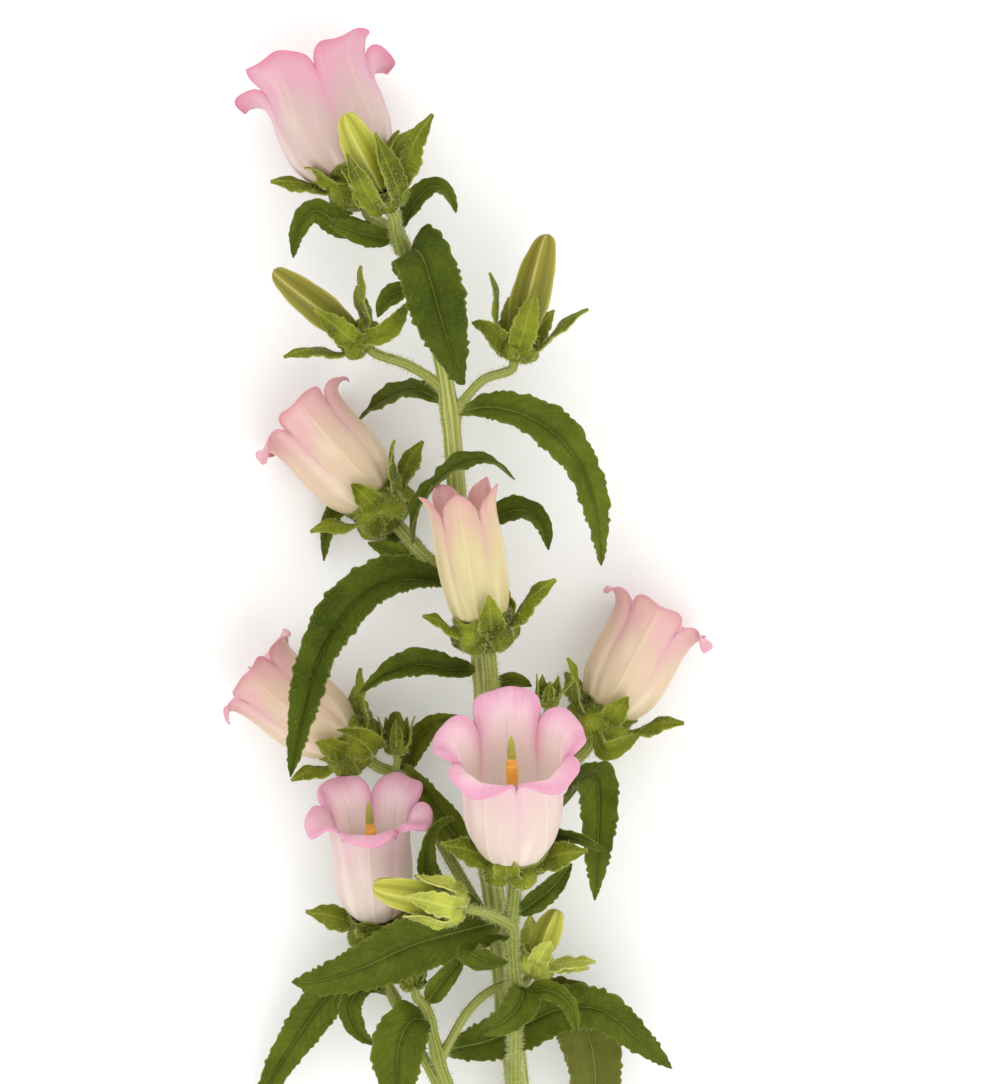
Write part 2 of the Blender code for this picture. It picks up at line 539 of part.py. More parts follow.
def paint(item, colour):
    item.data.materials.clear()
    item.data.materials.append(finish(item.name, colour))


def build():
    clear_scene()
    plant = helper_collection("campanula_stem")

    # the stem with its branches, flower stalks and small bracts
    stem = tube("main_stem", MAIN_STEM, plant, 16, 2)
    grown = helper_collection("stem_parts")
    for name, route in stem_paths().items():
        if name != "main":
            tube(name, route, grown, 12)
    for name, bract in STEM_BRACTS.items():
        blade(name, bract["points"], bract["width"], grown, teeth=3, wave=0.4, thickness=BRACT_BLADE)
    paint(fused(stem, grown), STEM_GREEN)

    # leaves
    skin = [spot for route in stem_paths().values()
            for spot in smooth_path(route, max(8, round(path_length(route) / 1.5)))]
    for name, leaf in LEAVES.items():
        roll, teeth = leaf.get("roll", 0), leaf.get("teeth", 5)
        path = seated(leaf["points"], skin, leaf["width"], roll, teeth)
        item = blade("leaf_" + name, path, leaf["width"], plant, roll, leaf.get("fold", 16), teeth,
                     leaf.get("wave", 1.0))
        paint(item, LEAF_GREEN)

    # open and half open blooms
    for name, bloom in BLOOMS.items():
        bracts = [CALYX_BRACTS[name]] if name in CALYX_BRACTS else []
        paint(calyx("calyx_" + name, bloom, 1, bracts, plant), YOUNG_GREEN)
        paint(bell("bloom_" + name, bloom, plant), PETAL_CREAM if name in HALF_OPEN else PETAL_PINK)
        foot = in_flower(bloom["base"], flower_axes(bloom["axis"]), 0, 0, OVARY_HEIGHT + GAP)
        reach = PISTIL_YOUNG if name in HALF_OPEN else PISTIL_REACH
        pistil = turned("pistil_" + name, foot, bloom["axis"], PISTIL_OUTLINE, PISTIL_RADIUS,
                        bloom["length"] * reach, 6, 4, 0, plant)
        paint(pistil, POLLEN)

    # buds
    for name, bud in BUDS.items():
        bracts = [BUD_BRACTS[name]] if name in BUD_BRACTS else []
        scale = BUD_OVARY if name not in ONE_COLOUR_BUDS else bud["girth"] / OVARY_RADIUS
        green = calyx("bud_calyx_" + name, bud, scale, bracts, plant)
        raised = GAP if name not in ONE_COLOUR_BUDS else -BUD_SINK
        foot = in_flower(bud["base"], flower_axes(bud["axis"]), 0, 0, OVARY_HEIGHT * scale + raised)
        target = plant
        if name in ONE_COLOUR_BUDS:
            target = helper_collection(name + "_petals")
        petals = turned("bud_" + name, foot, bud["axis"], BUD_OUTLINE, bud["girth"], bud["length"], 10, 7,
                        0.09, target)
        if name in ONE_COLOUR_BUDS:
            green = fused(green, target)
            green.name = "bud_" + name
        else:
            paint(petals, BUD_GREEN)
        paint(green, YOUNG_GREEN)


build()
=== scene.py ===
# Campanula flower stem, dressed for rendering: finer stems, leaves, bells, calyces, buds and pistils in
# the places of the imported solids, with their finishes and hairs, a pale floor, soft light and a camera.
# Places and sizes are millimetres in the model's own frame, and mm turns them into Blender's metres.
import bpy
import bmesh
import numpy as np
from math import radians
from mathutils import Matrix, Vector


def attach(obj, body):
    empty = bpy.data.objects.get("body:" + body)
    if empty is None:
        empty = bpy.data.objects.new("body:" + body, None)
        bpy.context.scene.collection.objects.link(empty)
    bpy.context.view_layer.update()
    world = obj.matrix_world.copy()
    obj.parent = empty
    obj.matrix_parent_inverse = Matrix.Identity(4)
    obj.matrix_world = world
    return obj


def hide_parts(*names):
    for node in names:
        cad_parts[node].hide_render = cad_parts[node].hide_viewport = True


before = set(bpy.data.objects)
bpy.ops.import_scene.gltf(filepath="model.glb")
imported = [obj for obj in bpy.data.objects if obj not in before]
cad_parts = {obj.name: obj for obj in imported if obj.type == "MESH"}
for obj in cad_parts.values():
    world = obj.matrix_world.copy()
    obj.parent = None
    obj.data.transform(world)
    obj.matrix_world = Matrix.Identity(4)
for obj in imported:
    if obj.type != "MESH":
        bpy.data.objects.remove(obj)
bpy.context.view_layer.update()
mm = 0.001
lobes = 5                                  # of a bell, and sepals of a calyx
upward = np.array([0, 0, 1.0])
noRib = 9.0                                # mm from a midrib, where a skin shows no rib
seeds = dict(leaf=100, bract=200, calyx=300, bell=400, bud=500, pollen=50, stemHair=11, leafHair=12,
             calyxHair=13)
print("frame loaded")


# node trees

class Wire:
    # a node's socket, so that sums of sockets read as plain Python
    def __init__(self, board, socket):
        self.board, self.socket = board, socket

    def __add__(self, other):
        return self.board.sum("ADD", self, other)

    def __sub__(self, other):
        return self.board.sum("SUBTRACT", self, other)

    def __rsub__(self, other):
        return self.board.sum("SUBTRACT", other, self)

    def __mul__(self, other):
        return self.board.sum("MULTIPLY", self, other)

    def __truediv__(self, other):
        return self.board.sum("DIVIDE", self, other)

    def __abs__(self):
        return self.board.sum("ABSOLUTE", self)

    def rise(self, low, high):
        # 0 below low, 1 above high, smooth between
        return self.board.add("ShaderNodeMapRange", {"interpolation_type": "SMOOTHSTEP"},
                              {0: self, 1: low, 2: high, 3: 0.0, 4: 1.0})


class Board:
    # a node tree, and the one way that nodes are put on it
    def __init__(self, tree):
        self.tree = tree

    def add(self, kind, settings=(), sockets=(), output=0):
        node = self.tree.nodes.new(kind)
        for name, value in dict(settings).items():
            setattr(node, name, value)
        for key, value in dict(sockets).items():
            if isinstance(value, Wire):
                self.tree.links.new(value.socket, node.inputs[key])
            else:
                node.inputs[key].default_value = value
        return Wire(self, node.outputs[output])

    def sum(self, operation, *values):
        return self.add("ShaderNodeMath", {"operation": operation}, enumerate(values))

    def mix(self, share, first, second):
        return self.add("ShaderNodeMix", {"data_type": "RGBA"}, {0: share, 6: first, 7: second}, 2)

    def value(self, name):
        return self.add("ShaderNodeAttribute", {"attribute_name": name}, output="Fac")

    def place(self):
        return self.add("ShaderNodeTexCoord", output="Object")

    def noise(self, where, scale, detail=3.0, roughness=0.5):
        return self.add("ShaderNodeTexNoise", {}, {"Vector": where, "Scale": scale, "Detail": detail,
                                                   "Roughness": roughness})

    def cells(self, where, scale):
        # how far a point is from the edges of small cells
        return self.add("ShaderNodeTexVoronoi", {"feature": "DISTANCE_TO_EDGE"},
                        {"Vector": where, "Scale": scale})

    def three(self, x, y, z):
        return self.add("ShaderNodeCombineXYZ", {}, {0: x, 1: y, 2: z})

    def roundAbout(self, across, along):
        # a place that turns with a flower: so many units round it, and so many along it
        return self.three(self.value("roundX") * across, self.value("roundY") * across,
                          self.value("part") * along)

    def bump(self, height, depth, strength=1.0):
        return self.add("ShaderNodeBump", {}, {"Strength": strength, "Distance": depth * mm,
                                               "Height": height})


def linear(level):
    # one channel of a screen colour, 0 to 255, in Blender's linear values
    return level / 3294.6 if level <= 10 else ((level / 255 + 0.055) / 1.055) ** 2.4


def tones(looks):
    # the colours of a finish, each given as (red, green, blue) on a screen
    return {name: (*map(linear, value), 1.0) for name, value in looks.items()
            if isinstance(value, tuple) and len(value) == 3}


def newFinish(name, fixed):
    # an empty material, as the board for its nodes and the function that ends it
    material = bpy.data.materials.new(name)
    material.use_nodes = True
    shader = material.node_tree.nodes["Principled BSDF"]
    for socket, value in fixed.items():
        shader.inputs[socket].default_value = value
    board = Board(material.node_tree)

    def done(body, rough, height=None, depth=0.0, strength=1.0):
        # wire the colour, the roughness and the relief, if there is one, and give back the material
        ends = {"Base Color": body, "Roughness": rough}
        if height:
            ends["Normal"] = board.bump(height, depth, strength)
        for socket, wire in ends.items():
            board.tree.links.new(wire.socket, shader.inputs[socket])
        return material

    return board, done


# paths and grids

def curveBetween(a, b, c, d, t):
    # the smooth curve from b to c, where a comes before them and d after
    return 0.5 * (2 * b + (c - a) * t + (2 * a - 5 * b + 4 * c - d) * t ** 2
                  + (3 * b - a - 3 * c + d) * t ** 3)


def runAlong(path):
    # how far each point of a path is from its start
    return np.concatenate([[0], np.cumsum(np.linalg.norm(np.diff(path[:, :3], axis=0), axis=1))])


def smoothPath(points, steps, finePerSpan=24):
    # even steps along a smooth curve through the points
    points = np.array(points, float)
    ends = np.vstack([points[:1], points, points[-1:]])
    t = np.arange(finePerSpan)[:, None] / finePerSpan
    fine = [curveBetween(*four, t) for four in zip(ends, ends[1:], ends[2:], ends[3:])]
    fine = np.vstack([*fine, points[-1:]])
    run = runAlong(fine)
    want = np.linspace(0, run[-1], steps + 1)
    return np.stack([np.interp(want, run, column) for column in fine.T], 1)


def pathLength(path):
    return np.linalg.norm(np.diff(path[:, :3], axis=0), axis=1).sum()


def alongOutline(outline, part):
    # the outline's values at each share of the way along it
    outline = np.array(outline, float)
    spans = len(outline) - 1
    at = np.minimum(part, 0.9999) * spans
    i = at.astype(int)
    t = (at - i)[..., None]
    ends = np.vstack([outline[:1], outline, outline[-1:]])
    found = curveBetween(ends[i], ends[i + 1], ends[i + 2], ends[i + 3], t)
    return [found[..., k] for k in range(outline.shape[1])]


def unit(vector):
    return vector / np.maximum(np.linalg.norm(vector, axis=-1, keepdims=True), 1e-9)


def squareTo(vector, axis):
    # the part of a direction that is square to an axis
    return unit(vector - axis * vector.dot(axis))


def turnedAbout(vector, axis, angle):
    # a direction turned about an axis
    return (vector * np.cos(angle) + np.cross(axis, vector) * np.sin(angle)
            + axis * np.dot(axis, vector) * (1 - np.cos(angle)))


def bladeFrames(spots, roll):
    # tangent and facing direction at each point, with the blade facing up a little past its middle
    last = len(spots) - 1
    tangents = unit(np.array([spots[min(i + 1, last)] - spots[max(i - 1, 0)] for i in range(last + 1)]))
    facing = np.zeros_like(spots)
    middle = round(last * 0.6)
    facing[middle] = turnedAbout(squareTo(upward, tangents[middle]), tangents[middle], radians(roll))
    for order in (range(middle + 1, last + 1), range(middle - 1, -1, -1)):
        previous = facing[middle]
        for i in order:
            previous = squareTo(previous, tangents[i])
            facing[i] = previous
    return tangents, facing


def flowerAxes(axis):
    # a flower's own right, upper side, and direction along the bloom
    axis = unit(np.array(axis, float))
    up = squareTo(upward, axis)
    return np.cross(axis, up), up, axis


def inFlower(base, axes, turn, radius, height):
    # the point at this turn about a flower's axis, this far from it and this far along it
    right, up, axis = axes
    turn, radius, height = (np.asarray(n, float)[..., None] for n in (turn, radius, height))
    return np.asarray(base, float) + (up * np.cos(turn) + right * np.sin(turn)) * radius + axis * height


class Form:
    # points, faces and their values, gathered for one mesh
    def __init__(self):
        self.points, self.faces, self.corners, self.values, self.count = [], [], [], [], 0

    def layer(self, grid, closed, flip, values):
        # one skin of a grid of points
        rows, cols = grid.shape[:2]
        r, c = np.meshgrid(np.arange(rows - 1), np.arange(cols if closed else cols - 1), indexing="ij")
        d = (c + 1) % cols
        faces = np.stack([r * cols + c, r * cols + d, (r + 1) * cols + d, (r + 1) * cols + c], -1)
        faces = faces.reshape(-1, 4)
        du, dv = 1 / (cols if closed else cols - 1), 1 / (rows - 1)
        u, v = c / (cols if closed else cols - 1), r / (rows - 1)
        corners = [np.stack(corner, -1) for corner in ((u, v), (u + du, v), (u + du, v + dv), (u, v + dv))]
        corners = np.stack(corners, 2).reshape(-1, 4, 2)
        if flip:
            faces, corners = faces[:, ::-1], corners[:, ::-1]
        first = self.count
        self.points.append(grid.reshape(-1, 3))
        self.faces.append(faces + first)
        self.corners.append(corners)
        self.values.append({name: np.broadcast_to(value, (rows, cols)).ravel()
                            for name, value in values.items()})
        self.count += rows * cols
        return np.arange(rows * cols).reshape(rows, cols) + first

    def sheet(self, grid, above, below, closed=False, upper=1.0, **values):
        # a thin plate with two skins and a rim, standing above and below a grid of points
        if closed:
            across = np.roll(grid, -1, 1) - np.roll(grid, 1, 1)
        else:
            across = np.gradient(grid, axis=1)
        normal = unit(np.cross(across, np.gradient(grid, axis=0)))
        above, below = (np.broadcast_to(n, grid.shape[:2])[..., None] for n in (above, below))
        top = self.layer(grid + normal * above, closed, False, dict(values, upper=upper))
        under = self.layer(grid - normal * below, closed, True, dict(values, upper=1 - upper))
        rims = [(top[0, 1:], top[0, :-1], under[0, :-1], under[0, 1:]),
                (top[-1, :-1], top[-1, 1:], under[-1, 1:], under[-1, :-1])]
        if closed:
            rims += [tuple(np.array([n]) for n in (top[0, 0], top[0, -1], under[0, -1], under[0, 0])),
                     tuple(np.array([n]) for n in (top[-1, -1], top[-1, 0], under[-1, 0], under[-1, -1]))]
        else:
            rims += [(top[:-1, 0], top[1:, 0], under[1:, 0], under[:-1, 0]),
                     (top[1:, -1], top[:-1, -1], under[:-1, -1], under[1:, -1])]
        for rim in rims:
            faces = np.stack(rim, -1)
            self.faces.append(faces)
            self.corners.append(np.zeros((len(faces), 4, 2)))

    def join(self, other):
        # take over another form's skins
        self.points += other.points
        self.values += other.values
        self.faces += [faces + self.count for faces in other.faces]
        self.corners += other.corners
        self.count += other.count

    def piece(self, name, material, weld=False):
        # one object, flattened softly where it would go into the table
        points = np.vstack(self.points)
        low = points[:, 2] < pieceDetail["soft"]
        points[low, 2] = pieceDetail["soft"] * np.exp(points[low, 2] / pieceDetail["soft"] - 1)
        faces = np.vstack(self.faces)
        mesh = bpy.data.meshes.new(name)
        mesh.from_pydata((points * mm).tolist(), [], faces.tolist())
        mesh.uv_layers.new(name="UVMap").data.foreach_set("uv", np.vstack(self.corners).ravel())
        for key in sorted({key for values in self.values for key in values}):
            full = np.concatenate([values.get(key, np.zeros(len(spots)))
                                   for values, spots in zip(self.values, self.points)])
            mesh.attributes.new(key, "FLOAT", "POINT").data.foreach_set("value", full.astype(np.float32))
        if weld:
            work = bmesh.new()
            work.from_mesh(mesh)
            bmesh.ops.remove_doubles(work, verts=work.verts, dist=pieceDetail["weld"] * mm)
            work.to_mesh(mesh)
            work.free()
        mesh.polygons.foreach_set("use_smooth", np.ones(len(mesh.polygons), bool))
        mesh.set_sharp_from_angle(angle=radians(pieceDetail["sharp"]))
        if material:
            mesh.materials.append(material)
        return newObject(name, mesh)


# Soft is the height over the table, mm, under which a piece flattens, sharp the angle from which an edge
# is shaded sharp, and weld how close points are that become one, mm.
pieceDetail = dict(soft=1.2, sharp=48, weld=0.002)


def newObject(name, data):
    item = bpy.data.objects.new(name, data)
    bpy.context.scene.collection.objects.link(item)
    return item


def kept(item, slot, *nodes):
    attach(item, "root")
    if nodes:
        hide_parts(*nodes)
    return item


def plain(item):
    # the mesh that an object's modifiers make, in place of the object
    graph = bpy.context.evaluated_depsgraph_get()
    mesh = bpy.data.meshes.new_from_object(item.evaluated_get(graph))
    name = item.name
    bpy.data.objects.remove(item)
    return newObject(name, mesh)


def geometryTree(name, inputs):
    # an empty geometry tree with named inputs: (name, socket kind, first value)
    tree = bpy.data.node_groups.new(name, "GeometryNodeTree")
    tree.interface.new_socket("Geometry", in_out="INPUT", socket_type="NodeSocketGeometry")
    for label, kind, value in inputs:
        socket = tree.interface.new_socket(label, in_out="INPUT", socket_type=kind)
        if value is not None:              # a material socket stays empty
            socket.default_value = value
    tree.interface.new_socket("Geometry", in_out="OUTPUT", socket_type="NodeSocketGeometry")
    board = Board(tree)
    source = tree.nodes.new("NodeGroupInput")
    return board, {socket.name: Wire(board, socket) for socket in source.outputs if socket.name}


def closeTree(board, geometry, material):
    # every tree ends in real geometry with its material
    geometry = board.add("GeometryNodeRealizeInstances", {}, {0: geometry})
    geometry = board.add("GeometryNodeSetMaterial", {}, {"Geometry": geometry, "Material": material})
    end = board.tree.nodes.new("NodeGroupOutput")
    board.tree.links.new(geometry.socket, end.inputs[0])


def grow(item, board, values):
    # run a tree on an object with these values, and keep the plain mesh
    step = item.modifiers.new(board.tree.name, "NODES")
    step.node_group = board.tree
    for socket in board.tree.interface.items_tree:
        if socket.in_out == "INPUT" and socket.name in values:
            step[socket.identifier] = values[socket.name]
    return plain(item)


# the plant's tables, as in the part's own source

# Stems: the points of each middle line (x, y, z) with the radius there.
mainStem = [
    (20.5, -249.5, 4.78, 4.6), (19.5, -205, 5.5, 4.6), (19, -159.5, 8, 4.5), (18, -124.5, 13, 4.4),
    (14, -89.5, 20, 4.3), (11, -65, 25, 4.1), (7.5, -37, 30, 3.9), (5.5, -5.5, 34, 3.6),
    (6, 15.5, 36, 3.5), (4.5, 34.5, 37, 3.4), (1, 54, 36, 3.4), (-2, 75, 35, 3.4),
    (-4, 96, 35, 3.4), (-5.5, 113.5, 35, 3.3), (-8, 131, 36, 2.9), (-12.5, 148.5, 38, 2.7),
    (-19, 166, 40, 2.6), (-23.5, 177, 42, 2.5),
]
branches = {
    "front": [(18.5, -152.5, 9, 2.6), (17.5, -135, 20, 2.5), (17, -119, 28, 2.4), (17, -89.5, 40, 2.4),
        (15.5, -66, 47, 2.4), (16.5, -55, 50, 2.4)],
    "left": [(18, -177, 7, 2.6), (5, -147.5, 18, 2.4), (-7.5, -119, 28, 2.3), (-12, -102, 33, 2.1),
        (-14.5, -92.5, 35, 2.0)],
    "upper_left": [(2, 49, 36.5, 2.6), (-7.5, 59, 36, 2.5), (-17, 68, 36, 2.4)],
    "middle": [(6.5, 11, 36, 2.6), (9, 19, 44, 2.4)],
    "lower_left": [(10, -68.5, 24, 2.3), (1.5, -54, 25, 2.1), (-10, -34, 24, 2.0), (-18, -20.5, 23, 2.0),
        (-24, -12, 23, 2.0)],
    "right": [(6.5, -24, 32, 2.4), (20.5, -19, 28, 2.2), (33.5, -11, 25, 2.1)],
    "low": [(-9, -122.5, 26.5, 2.0), (-12, -117, 27, 1.9), (-18, -106, 26, 1.8), (-24.5, -92.5, 26, 1.8),
        (-29.5, -81, 26, 1.8)],
    "top": [(-23.5, 177, 42, 2.2), (-30, 182.5, 39, 2.1)],
}
budStalks = {
    "top": [(-22, 173, 41.5, 2.4), (-24.5, 180, 47, 2.4)],
    "left": [(-7.5, 124, 35.5, 1.9), (-14.5, 129.5, 36, 1.8), (-22, 133.5, 36, 1.8)],
    "right": [(-5, 114, 35, 1.9), (0, 121.5, 36, 1.7), (6.5, 128, 37, 1.7)],
    "lime": [(15.5, -63, 48.5, 1.9), (10.5, -60, 55, 1.8), (5.5, -57.5, 61, 1.8)],
    "low": [(-10, -111.5, 30, 1.6), (-6.5, -106.5, 31, 1.6), (-0.5, -96, 32, 1.6), (6, -89, 33, 1.6),
        (13.5, -85, 34, 1.6)],
    "side": [(-23, -13.5, 23, 1.2), (-25, -10, 25, 1.2)],
    "young_right": [(6, 9, 36, 1.5), (17, 8, 37, 1.4), (25, 8.5, 38, 1.4)],
    "low_left": [(-14.5, -93.5, 35, 1.6), (-16.5, -90, 36, 1.6)],
}

# Blooms: base is the foot of the ovary, throat and flare are radii, length runs to the rim.
# Each sepal is (turn about the axis, lean from it, length), with turn 0 on the upper side
# and 90 on the right of a bloom that points along +Y. Drops say how far each lobe bends back,
# and bend is the share of the outline where that starts, with the power that it grows by.
blooms = {
    "top": dict(base=(-35, 188, 34.9), axis=(-0.36, 0.91, -0.12), throat=20, flare=28.5, length=46,
        spin=4, drops=(3, 14, 4, 7.5, 0.5), bend=(0.55, 1.0), sepals=[(-85, 52, 19), (-42, 42, 12),
        (60, 45, 14), (110, 50, 20), (175, 52, 14)]),
    "upper_left": dict(base=(-24, 76, 25.3), axis=(-0.67, 0.74, -0.1), throat=15, flare=21.5, length=44,
        spin=48, drops=(5, 4, 4, 8, 2), sepals=[(-80, 50, 15), (-5, 34, 12), (48, 42, 17), (108, 62, 18),
        (170, 12, 11)]),
    "middle": dict(base=(8, 32, 53), axis=(-0.17, 0.95, 0.2), throat=12.2, flare=12, length=47, spin=29,
        drops=(0, 0, 0, 0, 0), sepals=[(-70, 46, 12), (12, 22, 14), (76, 48, 20), (140, 16, 13),
        (-150, 10, 12)]),
    "lower_left": dict(base=(-33.5, -7, 25), axis=(-0.79, 0.61, 0), throat=14.2, flare=19.5, length=43,
        spin=28, drops=(5, 4, 4, 8, 2), sepals=[(-90, 50, 13), (-15, 36, 12), (70, 40, 18), (130, 40, 15),
        (-160, 45, 13)]),
    "right": dict(base=(43.5, -0.5, 22.3), axis=(0.48, 0.877, -0.05), throat=15, flare=21.5, length=43,
        spin=31, drops=(7, 4, 4, 6, 2), sepals=[(-130, 55, 16), (-58, 42, 17), (10, 32, 12), (82, 46, 18),
        (160, 30, 13)]),
    "front": dict(base=(17, -46, 53), axis=(-0.02, 0.77, 0.62), throat=17.6, flare=26, length=53, spin=4,
        drops=(6, 6, 2, 7, 9), sepals=[(-85, 60, 15), (-12, 8, 14), (72, 60, 16), (140, 28, 13),
        (-145, 45, 14)]),
    "low": dict(base=(-30.5, -72, 27), axis=(-0.06, 0.88, 0.42), throat=13.8, flare=22.5, length=46,
        spin=33, drops=(6, 1, 1, 7, 5), sepals=[(-90, 68, 14), (-20, 60, 9), (45, 60, 11), (120, 50, 16),
        (-155, 50, 15)]),
}
halfOpen = {"middle"}     # blooms whose lobes still stand up, unflared
pistilReach = 1.0         # of the bloom's length
pistilYoung = 0.85        # in a half open bloom
pistilRadius = 1.5

# Buds: girth is the radius of the closed petals, and length is theirs too.
buds = {
    "top": dict(base=(-26, 186, 54), axis=(-0.4, 0.85, 0.36), girth=6.2, length=31,
        sepals=[(-100, 14, 14), (-35, 8, 21), (38, 10, 24), (92, 40, 26), (170, 4, 9)]),
    "left": dict(base=(-33.5, 138.5, 36), axis=(-0.77, 0.63, 0.1), girth=5.6, length=36,
        sepals=[(-85, 34, 20), (-12, 12, 18), (66, 36, 20), (115, 30, 13), (180, 20, 14)]),
    "right": dict(base=(16.5, 134, 37), axis=(0.27, 0.96, 0.1), girth=6.4, length=38.5,
        sepals=[(5, 8, 20), (78, 28, 22), (-78, 22, 24), (145, 26, 16), (-150, 26, 16)]),
    "lime": dict(base=(0, -56, 66), axis=(-0.93, 0.24, 0.25), girth=5.6, length=26, sepals=[(-2, 8, 17),
        (56, 8, 14), (130, 8, 12), (-140, 8, 11), (-60, 8, 15)]),
    "low": dict(base=(21.5, -82, 36), axis=(0.42, 0.9, 0.1), girth=4.8, length=18, sepals=[(5, 30, 13),
        (70, 48, 15), (110, 70, 13), (-150, 30, 14), (-70, 34, 13)]),
    "side": dict(base=(-24.5, -4.5, 27), axis=(-0.02, 1, 0.05), girth=3.2, length=13, sepals=[(0, 16, 10),
        (72, 18, 11), (144, 18, 10), (-144, 18, 10), (-72, 18, 11)]),
    "young_right": dict(base=(28.5, 12.5, 39), axis=(0.1, 0.99, 0.1), girth=2.8, length=7,
        sepals=[(0, 22, 8), (72, 26, 9), (144, 10, 8), (-144, 10, 8), (-72, 14, 9)]),
    "low_left": dict(base=(-18, -87, 37), axis=(-0.25, 0.95, 0.0), girth=3.4, length=8,
        sepals=[(0, 26, 8), (72, 34, 9), (144, 30, 8), (-144, 30, 8), (-72, 34, 9)]),
}
oneColourBuds = {"side", "young_right", "low_left"}     # still green, petals and calyx alike

# Leaves: the midrib's points from the stem out, and the widest width. Roll turns the blade
# about its midrib from facing up, fold lifts its two halves, wave is the ruffle's height.
leaves = {
    "top_left": dict(width=9, points=[(-28, 180.5, 39), (-42, 181.5, 38), (-53, 187, 39),
        (-59, 180.5, 36), (-61, 171, 31)]),
    "top_under": dict(width=8, points=[(-23.5, 176.5, 42), (-34.5, 178, 46), (-42, 180.5, 47),
        (-48.5, 183, 46)]),
    "top_right": dict(width=8, roll=-30, points=[(-24, 178.5, 42), (-18, 189.5, 45), (-12, 195, 47),
        (-6.5, 193, 47), (-3.5, 186, 45)]),
    "front_high": dict(width=21, points=[(-17.5, 161.5, 39), (-20, 168, 48), (-18.5, 172.5, 56),
        (-14.5, 168.5, 61), (-9, 150, 62), (-3, 130, 59), (-0.5, 125.5, 57)]),
    "right_high": dict(width=15, roll=-25, points=[(-5, 115, 35), (8.5, 118, 41), (24, 113.5, 46),
        (37, 102, 47), (45, 83.5, 43), (47.5, 62.5, 35)]),
    "left_high": dict(width=10, roll=55, points=[(-6, 118, 35), (-17, 124, 30), (-29.5, 121, 20),
        (-39, 113.5, 9)]),
    "over_stem": dict(width=11, roll=-60, points=[(-19, 70, 36), (-17, 82.5, 42), (-10, 91.5, 48),
        (-1.5, 98, 50), (8.5, 99, 49), (17, 92.5, 46)]),
    "right_mid": dict(width=10, roll=-30, points=[(-2, 74, 35), (10, 79.5, 33), (19.5, 82, 36),
        (26.5, 77.5, 38), (29, 68, 36)]),
    "left_long": dict(width=19, roll=15, fold=36, points=[(1.5, 51.5, 36), (-11, 56.5, 43.5),
        (-25, 57, 52), (-39, 49, 59), (-50.5, 31, 61), (-56.5, 9, 60), (-61, -11, 56)]),
    "left_mid": dict(width=11, roll=25, fold=32, points=[(5, 26, 37), (-5, 26, 45), (-16, 28, 48),
        (-27.5, 24.5, 47), (-37, 18, 45)]),
    "left_young": dict(width=9, points=[(-22.5, -14, 23), (-19, -2, 17), (-12, 6, 21), (-3, 9.5, 27)]),
    "right_hanging": dict(width=15, points=[(7.5, -37, 30), (22.5, -31, 31), (33.5, -21.5, 36),
        (40, -13.5, 44), (45, -11.5, 50), (46.5, -19.5, 53), (46, -37, 52), (45, -54.5, 47)]),
    "by_bloom": dict(width=8, points=[(16.5, -60, 48.5), (22.5, -56, 51), (30, -50, 52),
        (37, -41.5, 51)]),
    "sickle": dict(width=8, roll=30, points=[(9, -59.5, 56), (-3, -53, 55), (-12, -47, 55),
        (-14, -38, 56.5), (-11, -29, 57), (-4, -25, 56)]),
    "branch": dict(width=11, points=[(7.5, -45, 29), (-1.5, -35.5, 32), (-12, -21.5, 30),
        (-21.5, -7.5, 29)]),
    "low_left": dict(width=19, fold=8, points=[(15.5, -61, 48.5), (-1, -65, 50), (-18.5, -70, 51),
        (-36.5, -78, 51), (-52, -83, 47), (-61, -83.5, 42)]),
    "low_fold": dict(width=10, points=[(15.5, -67, 48), (6, -70, 58), (1.5, -71.5, 63), (7.5, -74.5, 62),
        (14.5, -75.5, 58)]),
    "low_front": dict(width=12, points=[(16.5, -84.5, 42), (20, -87, 49), (17, -93, 55), (11, -97.5, 55),
        (5, -100, 51)]),
    "low_right": dict(width=17, fold=8, wave=0.7, points=[(-10.5, -109.5, 31), (-3, -108, 26),
        (8, -105.5, 25), (18, -101, 26), (33, -94, 31), (47.5, -94, 36), (61, -104.5, 34),
        (72.5, -115, 29)]),
    "low_arc": dict(width=7, points=[(17, -91, 39.5), (27, -86, 46), (35.5, -90, 51), (39, -101, 50)]),
    "low_pale": dict(width=21, points=[(14.5, -94.5, 19), (28.5, -91, 22), (40, -96.5, 24),
        (45, -111.5, 23), (46, -130, 18), (47, -145.5, 11)]),
    "low_hanging": dict(width=18, points=[(-13, -98, 34.5), (-19, -97, 43), (-23.5, -105.5, 47),
        (-24, -119.5, 46), (-23, -130, 42)]),
    "low_far": dict(width=14, points=[(-25.5, -91, 26), (-34, -84, 21), (-46, -87, 18), (-59, -103.5, 16),
        (-69.5, -121, 12), (-73.5, -134.5, 7)]),
    "mid_hanging": dict(width=10, points=[(-12, 63, 34), (-19, 68, 22), (-31, 78, 9), (-43, 84, 6),
        (-49, 78, 7), (-51, 64, 6)]),
    "right_spur": dict(width=7, points=[(8, -40, 29.5), (20, -36, 35), (29, -33, 43), (34, -32, 54),
        (40, -32.5, 60), (49, -37, 59)]),
}
